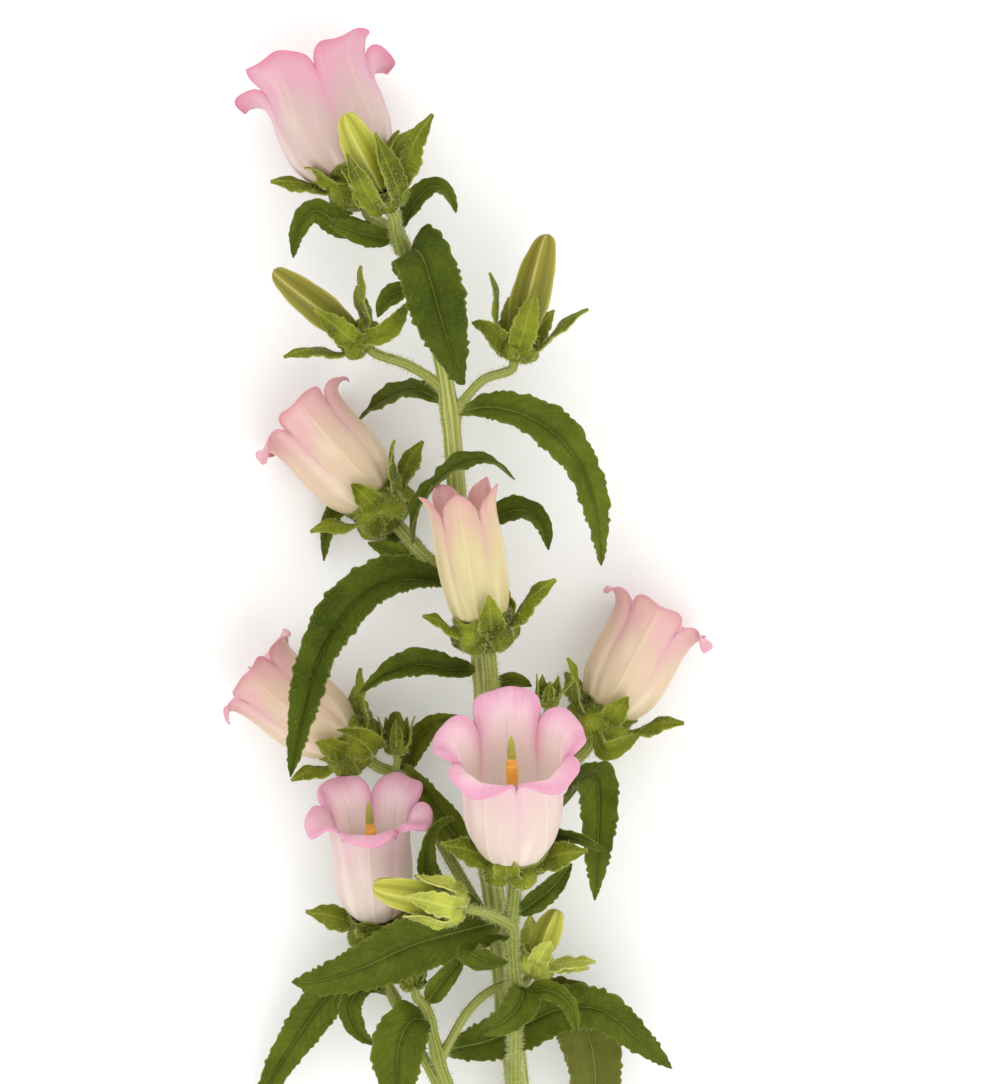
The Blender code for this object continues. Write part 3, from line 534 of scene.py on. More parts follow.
# Small bracts that are one piece with the stem, and those that are one piece with a calyx.
stemBracts = {
    "behind_high": dict(width=7, points=[(-17, 160.5, 39), (-24, 158.5, 41), (-28.5, 155, 42),
        (-31, 149.5, 42)]),
    "low_small": dict(width=8, points=[(-14.5, -92.5, 35), (-9, -84.5, 40), (-4, -78.5, 41),
        (-0.5, -74, 39)]),
    "low_curl": dict(width=8, points=[(-27, -87, 26), (-36, -86, 29), (-41, -93, 31), (-38, -102, 29),
        (-32, -107, 26)]),
    "mid_pale": dict(width=7, points=[(-12, 63.5, 36), (-21.5, 65.5, 35), (-27.5, 68, 35),
        (-34.5, 70.5, 34)]),
    "right_low": dict(width=6, points=[(6, 16.5, 36), (12, 21, 37), (18, 22, 36), (23, 20, 34)]),
}
calyxBracts = {
    "lower_left": dict(width=6, points=[(-37, -2, 27), (-31, -2, 35), (-36.5, 3.5, 43), (-45, 5, 47)]),
    "right": dict(width=7, points=[(46, 4, 31), (48.5, -2.5, 37), (54, -1, 38), (61, 3, 36)]),
}
budBracts = {
    "left": dict(width=7, points=[(-36.5, 141.5, 40), (-34, 142.5, 44.5), (-30, 143, 45), (-25, 147, 44),
        (-20.5, 154.5, 42)]),
    "right": dict(width=7, points=[(15.5, 137, 38), (12.5, 140.5, 44), (7.5, 145.5, 46), (2, 147.5, 45)]),
}

# A bell's outline from its base to its lip: share of the throat, share of the flare, height.
bellOutline = [(0.24, 0, 0.0), (0.54, 0, 0.012), (0.77, 0, 0.09), (0.97, 0, 0.25), (1.03, 0, 0.47),
               (1.0, 0.03, 0.68), (0.98, 0.24, 0.85), (1.0, 0.62, 0.95), (1.0, 1.0, 1.0)]
halfOutline = [(0.30, 0, 0.0), (0.65, 0, 0.012), (0.83, 0, 0.08), (0.96, 0, 0.25), (1.01, 0, 0.48),
                (0.98, 0, 0.68), (0.96, 0, 0.82), (1.0, 0, 0.93), (1.12, 0, 1.0)]
ovaryOutline = [(0, 0), (0.52, 0.08), (0.93, 0.36), (1.0, 0.66), (0.86, 0.96), (0, 1.0)]
budOutline = [(0, 0), (0.62, 0.03), (0.86, 0.18), (1.0, 0.42), (0.86, 0.72), (0.52, 0.94), (0, 1.0)]


def stalkPoints(points, base, axis):
    # a flower's stalk: its own points, then up into the foot of the ovary
    base, axis = np.array(base, float), unit(np.array(axis, float))
    thick = points[-1][3]
    return [*points, (*(base - axis * 3), thick), (*(base + axis * 0.8), thick)]


def stemRoutes():
    routes = {"main": mainStem, "left": branches["left"]}
    for name, bloom in blooms.items():
        routes["bloom " + name] = stalkPoints(branches[name], bloom["base"], bloom["axis"])
    for name, bud in buds.items():
        routes["bud " + name] = stalkPoints(budStalks[name], bud["base"], bud["axis"])
    return {name: smoothPath(route, max(10, round(pathLength(np.array(route)) / stemDetail["step"])))
            for name, route in routes.items()}


# materials

# Gaps and widths are mm on the blade. The channel colour is painted shade along the groove of the midrib.
leafLooks = dict(
    veinGap=4.6, veinSlope=1.1, veinArch=0.03, veinStray=1.6, veinWidth=0.16, ribWidth=0.34, cell=0.9,
    patchScale=75.0, fineScale=900.0, strayScale=240.0, bump=0.2,
    darkDeep=(48, 61, 6), darkLight=(73, 88, 14), fleck=(96, 110, 26),
    youngDeep=(97, 107, 20), youngLight=(120, 128, 34), channelShade=(34, 48, 4), vein=(122, 134, 48),
    rib=(142, 148, 66), backDeep=(92, 95, 28), backLight=(110, 112, 42), backVein=(142, 146, 78),
    backRib=(160, 164, 96), edge=(134, 142, 62), foot=(140, 156, 70))


def leafFinish():
    # a veined leaf, darker above than below
    looks, tone = leafLooks, tones(leafLooks)
    board, done = newFinish("leafSkin", {"Specular IOR Level": 0.1})
    where, upper, young = board.place(), board.value("upper"), board.value("young")
    along, across, part = board.value("alongMm"), abs(board.value("acrossMm")), board.value("part")
    patches = board.noise(where, looks["patchScale"], 4.0, 0.6)
    fine = board.noise(where, looks["fineScale"], 4.0)
    stray = board.noise(where, looks["strayScale"], 2.0)
    net = 1 - board.cells(where, 1 / (looks["cell"] * mm)).rise(0.0, 0.12)
    ahead = along - across * looks["veinSlope"] - across * across * looks["veinArch"]
    ahead = (ahead + stray * looks["veinStray"]) / looks["veinGap"]
    vein = abs(board.sum("FRACT", ahead) - 0.5) * 2
    vein = vein.rise(1 - looks["veinWidth"], 1.0) * (1 - board.value("edge").rise(0.75, 1.0))
    rib = 1 - (across / (part * -0.75 + 1.1)).rise(looks["ribWidth"] * 0.45, looks["ribWidth"])
    # a mask for painted shade: darker near the midrib, in the groove of the folded blade, narrowing towards
    # the tip
    channelShade = 1 - (across / (1.2 - part)).rise(0.8, 3.2)

    dark = board.mix(patches.rise(0.3, 0.7), tone["darkDeep"], tone["darkLight"])
    dark = board.mix(fine.rise(0.35, 0.8) * 0.4, dark, tone["fleck"])
    fresh = board.mix(patches.rise(0.3, 0.7), tone["youngDeep"], tone["youngLight"])
    face = board.mix(young, dark, fresh)
    face = board.mix(channelShade * 0.4, face, tone["channelShade"])
    face = board.mix(net * 0.18 + vein * 0.26, face, tone["vein"])
    face = board.mix(rib * 0.75, face, tone["rib"])
    back = board.mix(patches.rise(0.25, 0.75), tone["backDeep"], tone["backLight"])
    back = board.mix(net * 0.22 + vein * 0.5, back, tone["backVein"])
    back = board.mix(rib * 0.9, back, tone["backRib"])
    both = board.mix(upper, back, face)
    both = board.mix(board.value("edge").rise(0.93, 1.0) * 0.4, both, tone["edge"])
    both = board.mix((1 - part.rise(0.0, 0.1)) * 0.6, both, tone["foot"])
    height = net * -0.7 + vein * -1.4 + fine * 0.6 + rib * -0.8
    return done(both, fine * 0.22 + 0.42 - net * 0.06, height, looks["bump"])


# Petals of every colour: the scale of their fibres, of their soft and fine grain and of their painted
# satin highlights, pale patches that stand in for sheen. The first number of a pair goes round the
# bell, the second along it.
petalGrain = dict(fibres=(26, 1.6), paintedSheen=(2.6, 2.2), softScale=75.0, fineScale=1600.0, bump=0.18)
petalLooks = {
    "petalPale": dict(
        base=(184, 164, 148), middle=(196, 174, 168), upper=(205, 157, 173), lip=(202, 129, 157),
        throat=(252, 236, 222), inside=(240, 196, 208), vein=(212, 190, 166), edge=(196, 104, 138),
        edgeShare=0.45, paleFrom=0.36, pinkFrom=0.66),
    "petalPeach": dict(
        base=(203, 192, 146), middle=(210, 184, 160), upper=(210, 168, 166), lip=(202, 144, 156),
        throat=(250, 234, 214), inside=(232, 188, 194), vein=(220, 202, 158), edge=(190, 116, 140),
        edgeShare=0.25, paleFrom=0.42, pinkFrom=0.68),
    "petalPink": dict(
        base=(212, 196, 178), middle=(211, 190, 180), upper=(214, 180, 185), lip=(206, 142, 168),
        throat=(255, 240, 230), inside=(245, 202, 212), vein=(222, 206, 190), edge=(206, 138, 170),
        edgeShare=0.2, paleFrom=0.35, pinkFrom=0.76),
    "petalCream": dict(
        base=(200, 190, 124), middle=(207, 191, 143), upper=(204, 170, 150), lip=(192, 140, 142),
        throat=(240, 228, 186), inside=(228, 178, 176), vein=(222, 210, 174), edge=(180, 104, 118),
        edgeShare=0.3, paleFrom=0.4, pinkFrom=0.7),
}


def petalFinish(name, looks):
    # a petal's colour climbs from its base to its lip, on both sides in its own way
    tone = tones(looks)
    board, done = newFinish(name, {
        "Subsurface Weight": 0.45, "Subsurface Scale": 0.002, "Subsurface Radius": (1.0, 0.75, 0.65),
        "Specular IOR Level": 0.3})
    where, upper, rim = board.place(), board.value("upper"), board.value("rim")
    fibres = board.noise(board.roundAbout(*petalGrain["fibres"]), 1.0, 4.0, 0.6)
    paintedSheen = board.noise(board.roundAbout(*petalGrain["paintedSheen"]), 1.0)
    soft = board.noise(where, petalGrain["softScale"], 2.0)
    fine = board.noise(where, petalGrain["fineScale"])
    up = rim + (soft - 0.5) * 0.18 + (fibres - 0.5) * 0.12
    outer = board.mix(up.rise(0.02, looks["paleFrom"]), tone["base"], tone["middle"])
    outer = board.mix(up.rise(looks["paleFrom"], looks["pinkFrom"]), outer, tone["upper"])
    outer = board.mix(up.rise(looks["pinkFrom"], 0.99), outer, tone["lip"])
    inner = board.mix(up.rise(0.3, 0.82), tone["throat"], tone["inside"])
    inner = board.mix(up.rise(0.52, 0.94) * 0.9, inner, tone["lip"])
    both = board.mix(upper, inner, outer)
    # painted highlight: pale satin patches, away from the lip, that stand in for the petals' sheen
    both = board.mix(paintedSheen.rise(0.48, 0.7) * (1 - rim) * 0.5, both, tone["throat"])
    both = board.mix(board.value("vein") * (1 - rim.rise(0.5, 0.8)) * 0.4, both, tone["vein"])
    both = board.mix(fibres.rise(0.5, 0.75) * rim * 0.2, both, tone["lip"])
    both = board.mix((1 - fibres.rise(0.25, 0.5)) * 0.2, both, tone["middle"])
    both = board.mix(rim.rise(0.95, 1.0) * looks["edgeShare"], both, tone["edge"])
    height = fibres * 0.8 + fine * 0.3 + soft * 0.6
    return done(both, fine * 0.12 + fibres * 0.1 + 0.36, height, petalGrain["bump"], 0.7)


greenGrain = dict(patchScale=90.0, fineScale=1100.0, cellScale=900.0, bump=0.14)
greenLooks = {
    "calyxSkin": dict(deep=(62, 72, 4), bright=(126, 134, 22), inner=(96, 106, 14), pale=(168, 174, 68)),
    "limeSkin": dict(deep=(118, 128, 30), bright=(180, 186, 70), inner=(150, 160, 46), pale=(224, 222, 130)),
}


def greenFinish(name, looks):
    # calyces, sepals and green buds
    tone = tones(looks)
    board, done = newFinish(name, {
        "Subsurface Weight": 0.05, "Subsurface Scale": 0.001, "Specular IOR Level": 0.14})
    where, upper = board.place(), board.value("upper")
    patches = board.noise(where, greenGrain["patchScale"])
    fine = board.noise(where, greenGrain["fineScale"], 4.0)
    net = 1 - board.cells(where, greenGrain["cellScale"]).rise(0.0, 0.14)
    rib = 1 - abs(board.value("acrossMm")).rise(0.15, 0.55)
    body = board.mix(patches.rise(0.3, 0.7), tone["deep"], tone["bright"])
    body = board.mix(upper * 0.35, body, tone["inner"])
    body = board.mix(net * 0.2 + fine.rise(0.45, 0.8) * 0.2, body, tone["pale"])
    body = board.mix(rib * board.value("sepal") * 0.3, body, tone["pale"])
    body = board.mix(board.value("edge").rise(0.86, 1.0) * 0.55, body, tone["pale"])
    return done(body, fine * 0.2 + 0.42, net * -0.6 + fine * 0.8, greenGrain["bump"], 0.9)


budGrain = dict(streaks=(14, 1.5), fineScale=1300.0, bump=0.12)
# The keel colour is a painted highlight along each keel, and the darkest colour is painted shade in the
# grooves between the keels.
budLooks = {
    "budOlive": dict(foot=(100, 100, 20), top=(142, 134, 44), streak=(154, 148, 64), keel=(200, 190, 108),
                     grooveShade=(92, 90, 20), tip=(176, 134, 66)),
    "budLime": dict(foot=(140, 146, 30), top=(184, 180, 66), streak=(190, 190, 96), keel=(204, 204, 116),
                    grooveShade=(112, 116, 22), tip=(196, 182, 84)),
}


def budFinish(name, looks):
    # closed petals, with painted highlights along their pale keels and painted shade in the grooves between
    # them
    tone = tones(looks)
    board, done = newFinish(name, {
        "Subsurface Weight": 0.12, "Subsurface Scale": 0.0014, "Specular IOR Level": 0.22})
    part, keel = board.value("part"), board.value("keel")
    streaks = board.noise(board.roundAbout(*budGrain["streaks"]), 1.0, 4.0)
    fine = board.noise(board.place(), budGrain["fineScale"])
    body = board.mix(part.rise(0.15, 0.95), tone["foot"], tone["top"])
    body = board.mix(streaks.rise(0.35, 0.75) * 0.35, body, tone["streak"])
    # painted highlight along the keels
    body = board.mix(keel.rise(0.6, 1.0) * 0.7, body, tone["keel"])
    # painted shade in the grooves between the keels
    body = board.mix((1 - keel.rise(0.0, 0.3)) * 0.45, body, tone["grooveShade"])
    body = board.mix(part.rise(0.9, 1.0) * 0.5, body, tone["tip"])
    return done(body, fine * 0.14 + 0.38, streaks + fine * 0.5, budGrain["bump"], 0.7)


stemLooks = dict(
    streakRound=7, streakAlong=22, fineScale=1400.0, patchScale=40.0, bump=0.14, cutDepth=(0.0004, 0.0012),
    furrow=(110, 116, 30), ridge=(188, 190, 102), streak=(216, 214, 150), patch=(120, 128, 40),
    fresh=(118, 130, 36), cut=(216, 216, 170))


def stemFinish():
    # ribbed stems: pale ridges, pale streaks along them, fresher branches and a pale cut end
    looks, tone = stemLooks, tones(stemLooks)
    board, done = newFinish("stemSkin", {
        "Subsurface Weight": 0.08, "Subsurface Scale": 0.0012, "Specular IOR Level": 0.18})
    where, ridge, run = board.place(), board.value("ridge"), board.value("run")
    around = board.add("ShaderNodeAttribute", {"attribute_name": "around"}, output="Vector")
    turnX = board.add("ShaderNodeSeparateXYZ", {}, {0: around})
    turnY = Wire(board, turnX.socket.node.outputs[1])
    across = looks["streakRound"]
    streaks = board.three(turnX * across, turnY * across, run * looks["streakAlong"])
    streaks = board.noise(streaks, 1.0, 5.0, 0.6)
    fine, patches = board.noise(where, looks["fineScale"], 4.0), board.noise(where, looks["patchScale"])
    body = board.mix(ridge * 0.5 + 0.5, tone["furrow"], tone["ridge"])
    body = board.mix(streaks.rise(0.42, 0.7) * 0.6, body, tone["streak"])
    body = board.mix(patches.rise(0.45, 0.8) * 0.4, body, tone["patch"])
    body = board.mix(board.value("fresh") * 0.45, body, tone["fresh"])
    body = board.mix((1 - run.rise(*looks["cutDepth"])) * board.value("cut"), body, tone["cut"])
    return done(body, fine * 0.2 + 0.42, streaks * 0.8 + fine * 0.5, looks["bump"], 0.8)


styleLooks = dict(fineScale=1500.0, dotScale=1500.0, bump=0.12, foot=(206, 206, 140), pollen=(250, 186, 74),
                  tip=(156, 160, 66), fleck=(222, 196, 92))


def styleFinish():
    # a pistil: pale foot, pollen-covered middle, green tip
    looks, tone = styleLooks, tones(styleLooks)
    board, done = newFinish("styleSkin", {"Subsurface Weight": 0.1, "Subsurface Scale": 0.001})
    where, part = board.place(), board.value("part")
    fine = board.noise(where, looks["fineScale"], 4.0)
    dots = board.add("ShaderNodeTexVoronoi", {}, {"Vector": where, "Scale": looks["dotScale"]})
    body = board.mix(part.rise(0.75, 0.77), tone["pollen"], tone["tip"])
    body = board.mix(part.rise(0.40, 0.46), tone["foot"], body)
    body = board.mix(fine.rise(0.4, 0.8) * 0.35, body, tone["fleck"])
    return done(body, fine * 0.2 + 0.5, dots * -1 + fine * 0.4, looks["bump"], 0.8)


specksLooks = {
    "pollenGrain": dict(first=(214, 128, 30), second=(255, 206, 92), rough=0.6),
    "hairFine": dict(first=(172, 180, 112), second=(206, 212, 160), rough=0.5),
}


def specksFinish(name, looks, spreadScale=260.0):
    # pollen and hairs: small things that vary from one place to the next
    tone = tones(looks)
    board, done = newFinish(name, {"Specular IOR Level": 0.3})
    spread = board.noise(board.place(), spreadScale, 2.0)
    body = board.mix(spread.rise(0.35, 0.65), tone["first"], tone["second"])
    return done(body, spread * 0.1 + looks["rough"])


leafSkin, stemSkin, styleSkin = leafFinish(), stemFinish(), styleFinish()
skins = {name: make(name, looks) for make, table in ((petalFinish, petalLooks), (greenFinish, greenLooks),
                                                     (budFinish, budLooks), (specksFinish, specksLooks))
         for name, looks in table.items()}
print("finishes made")


# stems: ribbed tubes along the routes, by Geometry Nodes

# Lengths are mm. Ridge depth and foot flare are shares of the radius.
stemDetail = dict(sides=36, ridges=9, ridgeDepth=0.11, swelling=0.55, swellingReach=3.2, footFlare=0.35,
                  flareReach=3.5, step=1.6)
stemHair = {"main": 0.3, "bloom front": 2.2, "branches": 0.6}      # the share of hairs on each route


def sweepTree():
    # a ribbed ring swept along a line of edges, as thick as the line's attribute says
    board, given = geometryTree("ribbedStems", [
        ("Sides", "NodeSocketInt", 24), ("Ridges", "NodeSocketInt", 9),
        ("Ridge Depth", "NodeSocketFloat", 0.05), ("Skin", "NodeSocketMaterial", None)])
    curve = board.add("GeometryNodeMeshToCurve", {}, {0: given["Geometry"]})
    length = board.add("GeometryNodeSplineParameter", output="Length")
    curve = board.add("GeometryNodeStoreNamedAttribute", {"data_type": "FLOAT", "domain": "POINT"},
                      {"Geometry": curve, "Name": "run", "Value": length})
    ring = board.add("GeometryNodeCurvePrimitiveCircle", {}, {"Resolution": given["Sides"], "Radius": 1.0})
    spot = board.add("GeometryNodeInputPosition")
    turn = board.add("GeometryNodeInputIndex") * (2 * np.pi) / given["Sides"]
    ridge = board.sum("COSINE", turn * given["Ridges"])
    ring = board.add("GeometryNodeStoreNamedAttribute", {"data_type": "FLOAT_VECTOR", "domain": "POINT"},
                     {"Geometry": ring, "Name": "around", "Value": spot})
    ring = board.add("GeometryNodeStoreNamedAttribute", {"data_type": "FLOAT", "domain": "POINT"},
                     {"Geometry": ring, "Name": "ridge", "Value": ridge})
    size = 1 - given["Ridge Depth"] * (1 - ridge) * 0.5
    spot = board.add("ShaderNodeVectorMath", {"operation": "SCALE"}, {0: spot, "Scale": size})
    ring = board.add("GeometryNodeSetPosition", {}, {"Geometry": ring, "Position": spot})
    thick = board.add("GeometryNodeInputNamedAttribute", {"data_type": "FLOAT"}, {"Name": "thick"})
    tube = board.add("GeometryNodeCurveToMesh", {}, {"Curve": curve, "Profile Curve": ring, "Scale": thick,
                                                     "Fill Caps": True})
    tube = board.add("GeometryNodeSetShadeSmooth", {}, {"Geometry": tube, "Shade Smooth": True})
    closeTree(board, tube, given["Skin"])
    return board


def stemLines(routes):
    # the middle lines as one mesh of edges, with each point's radius and how fresh and hairy it is
    mesh = bpy.data.meshes.new("main_stem_lines")
    spots, edges, values = [], [], {"thick": [], "fresh": [], "hairy": [], "cut": []}
    feet = np.array([leaf["points"][0] for leaf in leaves.values()], float)
    for name, path in routes.items():
        first = len(spots)
        radius = path[:, 3].copy()
        run = runAlong(path)
        away = np.linalg.norm(path[:, None, :3] - feet[None], axis=2).min(1)
        radius += stemDetail["swelling"] * np.exp(-(away / stemDetail["swellingReach"]) ** 2)
        if name != "main":
            radius *= 1 + stemDetail["footFlare"] * np.exp(-run / stemDetail["flareReach"])
        spots += (path[:, :3] * mm).tolist()
        edges += [(first + i, first + i + 1) for i in range(len(path) - 1)]
        values["thick"] += (radius * mm).tolist()
        values["fresh"] += [0.0 if name == "main" else 1.0] * len(path)
        values["cut"] += [1.0 if name == "main" else 0.0] * len(path)
        values["hairy"] += [stemHair.get(name, stemHair["branches"])] * len(path)
    mesh.from_pydata(spots, edges, [])
    for key, numbers in values.items():
        mesh.attributes.new(key, "FLOAT", "POINT").data.foreach_set("value", numbers)
    return newObject("main_stem_ribbed", mesh)


routes = stemRoutes()
stem = grow(stemLines(routes), sweepTree(), {"Sides": stemDetail["sides"], "Ridges": stemDetail["ridges"],
                                             "Ridge Depth": stemDetail["ridgeDepth"], "Skin": stemSkin})
kept(stem, "stem", "main_stem")
print("stems made")


# leaves

# Lengths are mm, and tooth is a share of the blade's width. Narrowest is the half width from which a
# blade has a raised rib.
leafDetail = dict(columns=17, toothEvery=3.5, rowsPerTooth=6, tooth=0.055, toothHeights=(0.3, 1.35),
                  toothStray=0.3, toothHook=1.6, toothFades=(0.12, 0.05), plate=0.42, rib=0.55, ribWide=0.55,
                  groove=0.6, grooveWide=0.8, quilt=0.45, quiltFrom=14, ruffle=0.7, ruffleEvery=8.5,
                  waveEvery=4.2, uneven=0.05, footHalf=1.1, tipHalf=0.35, narrowest=0.6, buried=0.5,
                  startSteps=240, startWithin=160)
# how young and light each leaf is, from 0 to 1
leafTones = dict(others=0.05, top_left=0.4, top_under=0.4, top_right=0.3, over_stem=0.25, right_mid=0.15,
                 left_mid=0.25, mid_hanging=0.35, left_young=0.8, by_bloom=0.1, sickle=0.35, branch=0.7,
                 low_fold=0.3, low_front=0.3, low_arc=0.55, low_hanging=0.4, low_far=0.45, left_high=0.35,
                 low_right=0.32, low_left=0.32, right_hanging=0.36, right_spur=0.3, right_high=0.5)
turnedOver = {"low_pale"}                  # leaves that show their undersides


def leafStart(points, skin):
    # the midrib from where it comes out of the stem's skin
    path = smoothPath(points, leafDetail["startSteps"])
    clear = (np.linalg.norm(path[:, None, :3] - skin[None, :, :3], axis=2) - skin[None, :, 3]).min(1)
    out = np.flatnonzero(clear[:leafDetail["startWithin"]] > -leafDetail["buried"])
    return path[out[0] if len(out) else 0:]


def toothedEdge(part, across, teeth, draw):
    # how far the teeth stand out, 0 to about 1, on both edges of a blade
    detail = leafDetail
    saw = np.zeros((len(part), len(across)))
    for edge in (-1, 1):
        start = draw.uniform(0, 1)
        at = part * teeth + start + detail["toothStray"] * (1 + np.sin(part * teeth * 1.9 + 6 * start))
        rise = np.sin(np.pi * (at % 1) ** detail["toothHook"]) ** 0.9
        heights = draw.uniform(*detail["toothHeights"], teeth + 3)[at.astype(int)]
        sides = np.sign(across) == edge
        saw[:, sides] = (rise * heights)[:, None] * np.abs(across[sides]) ** 5
    return saw


def leafBlade(form, path, width, draw, roll=0, fold=16, wave=1.0, young=0.0, over=False, plate=None):
    # a toothed and quilted blade along its midrib, on both sides of it
    detail = leafDetail
    length = pathLength(path)
    teeth = max(4, round(length / detail["toothEvery"]))
    rows = teeth * detail["rowsPerTooth"]
    path = smoothPath(path, rows)
    tangents, facing = bladeFrames(path, roll)
    side = np.cross(tangents, facing)
    part = np.linspace(0, 1, rows + 1)
    middle = np.sin(np.pi * part)
    half = width / 2 * np.sin(np.pi * part ** 0.8) ** 0.75
    half = np.maximum(half, np.where(part < 0.5, detail["footHalf"], detail["tipHalf"]))
    half *= 1 + detail["uneven"] * np.sin(part * 9 + draw.uniform(0, 6)) * middle
    across = np.linspace(-1, 1, detail["columns"])
    across = np.sign(across) * np.abs(across) ** 0.85         # closer together towards the edges
    saw = toothedEdge(part, across, teeth, draw)
    fadeIn, fadeOut = detail["toothFades"]
    fade = np.clip(part / fadeIn, 0, 1) * np.clip((1 - part) / fadeOut, 0, 1)
    reach = half[:, None] + saw * (detail["tooth"] * width * fade)[:, None]
    a, run = across[None, :], (part * length)[:, None]
    acrossMm = a * reach

    # the two halves fold up, and quilts, ruffles and the groove along the midrib go on top
    lift = half * np.sin(radians(fold))
    lift = lift[:, None] + wave * middle[:, None] * np.sin(run / detail["waveEvery"] + a * 1.3)
    height = np.abs(a) * lift
    ahead = run - np.abs(acrossMm) * leafLooks["veinSlope"]
    bulge = middle[:, None] * np.clip(width / detail["quiltFrom"], 0.3, 1)
    quilt = np.cos(2 * np.pi * ahead / leafLooks["veinGap"])
    height += detail["quilt"] * bulge * quilt * np.abs(a) * (1.3 - np.abs(a))
    ripple = np.sin(run * 2 * np.pi / detail["ruffleEvery"] + np.where(a > 0, *draw.uniform(0, 6, 2)))
    height += detail["ruffle"] * bulge * ripple * np.abs(a) ** 3
    height -= detail["groove"] * bulge * np.exp(-(acrossMm / detail["grooveWide"]) ** 2)
    grid = path[:, None, :] + side[:, None, :] * (acrossMm * np.cos(radians(fold)))[..., None]
    grid = grid + facing[:, None, :] * height[..., None]

    thin = (plate or detail["plate"]) / 2
    rib = detail["rib"] * np.exp(-(acrossMm / detail["ribWide"]) ** 2)
    rib = rib * (1 - 0.7 * part)[:, None] * (half > detail["narrowest"])[:, None]
    edge = np.abs(a) + 0 * acrossMm
    form.sheet(grid, thin, thin + (0 if over else rib), upper=0.0 if over else 1.0, part=part[:, None],
               alongMm=run, acrossMm=acrossMm, edge=edge, young=young, hairy=np.clip(edge * 8 - 7, 0.03, 1),
               sepal=0.0)


skin = np.vstack(list(routes.values()))
leafDown = Form()                          # every blade once more, as ground for the hairs
for number, (name, leaf) in enumerate(leaves.items()):
    own = {key: leaf[key] for key in ("roll", "fold", "wave") if key in leaf}
    own.update(young=leafTones.get(name, leafTones["others"]), over=name in turnedOver)
    path = leafStart(leaf["points"], skin)
    form = Form()
    for target in (form, leafDown):
        draw = np.random.default_rng(seeds["leaf"] + number)
        leafBlade(target, path, leaf["width"], draw, **own)
    kept(form.piece("leaf_" + name + "_fine", leafSkin), "leaf", "leaf_" + name)
form = Form()
for number, (name, bract) in enumerate(stemBracts.items()):
    path = leafStart(bract["points"], skin)
    for target in (form, leafDown):
        draw = np.random.default_rng(seeds["bract"] + number)
        leafBlade(target, path, bract["width"], draw, wave=0.4, young=0.55)
kept(form.piece("stem_bracts", leafSkin), "leaf", "main_stem")
print("leaves made")


# calyces

# Lengths are mm on a full bloom's calyx, angles are degrees. Twist is how far the longest-leaning sepals
# turn over, hug how closely a nearly upright one lies to its petals, up to hugLean. Pairs that start with
# a share of the ovary's radius go on with a share of its height.
calyxDetail = dict(ovaryHeight=12.0, ovaryRadius=9.5, ovaryRows=18, ovaryColumns=40, ridge=0.14,
                   budShare=0.66, foldRows=20, foldColumns=13, foldSpan=34, foldPlate=0.5, foldBulge=1.75,
                   foldCrinkle=0.42, foldRuffle=0.6, foldTop=0.97, foldDown=0.86, foldSag=0.05,
                   sepalRows=24, sepalColumns=9, sepalStart=(0.7, 0.78), sepalFoot=(1.22, 0.97),
                   sepalWide=(0.58, 0.28), rippleEvery=1.9, groove=0.25, rib=0.3, plate=0.5, twist=95,
                   bend=0.12, scallopEvery=3.4, scallop=0.2, hug=0.85, hugAir=1.0, hugLean=14, looseLean=40,
                   collarRows=7, collarColumns=64, collar=3.2, collarFrom=0.72, collarPlate=0.4,
                   collarAir=0.45, petalAir=0.3)
sepalShape = [(0.75,), (1.0,), (0.72,), (0.12,)]
foldShape = [(0, 0.15, 0.45, 0.8, 0.94, 1), (0.7, 0.95, 1.0, 0.74, 0.42, 0.12)]     # shares down, widths


def turnedGrid(base, axis, outline, girth, length, rows, cols, relief, start=0.0):
    # a closed body round an axis: its points, and how far each is along the outline and round the axis
    axes = flowerAxes(axis)
    part = np.linspace(0, 1, rows)[:, None] + np.zeros((1, cols))
    turn = np.linspace(0, 2 * np.pi, cols, endpoint=False)[None, :] + np.zeros((rows, 1))
    radius, height = alongOutline(outline, part)
    radius[[0, -1]] = 0
    grid = inFlower(base, axes, turn + start, radius * girth * relief(part, turn), height * length)
    return grid, part, turn


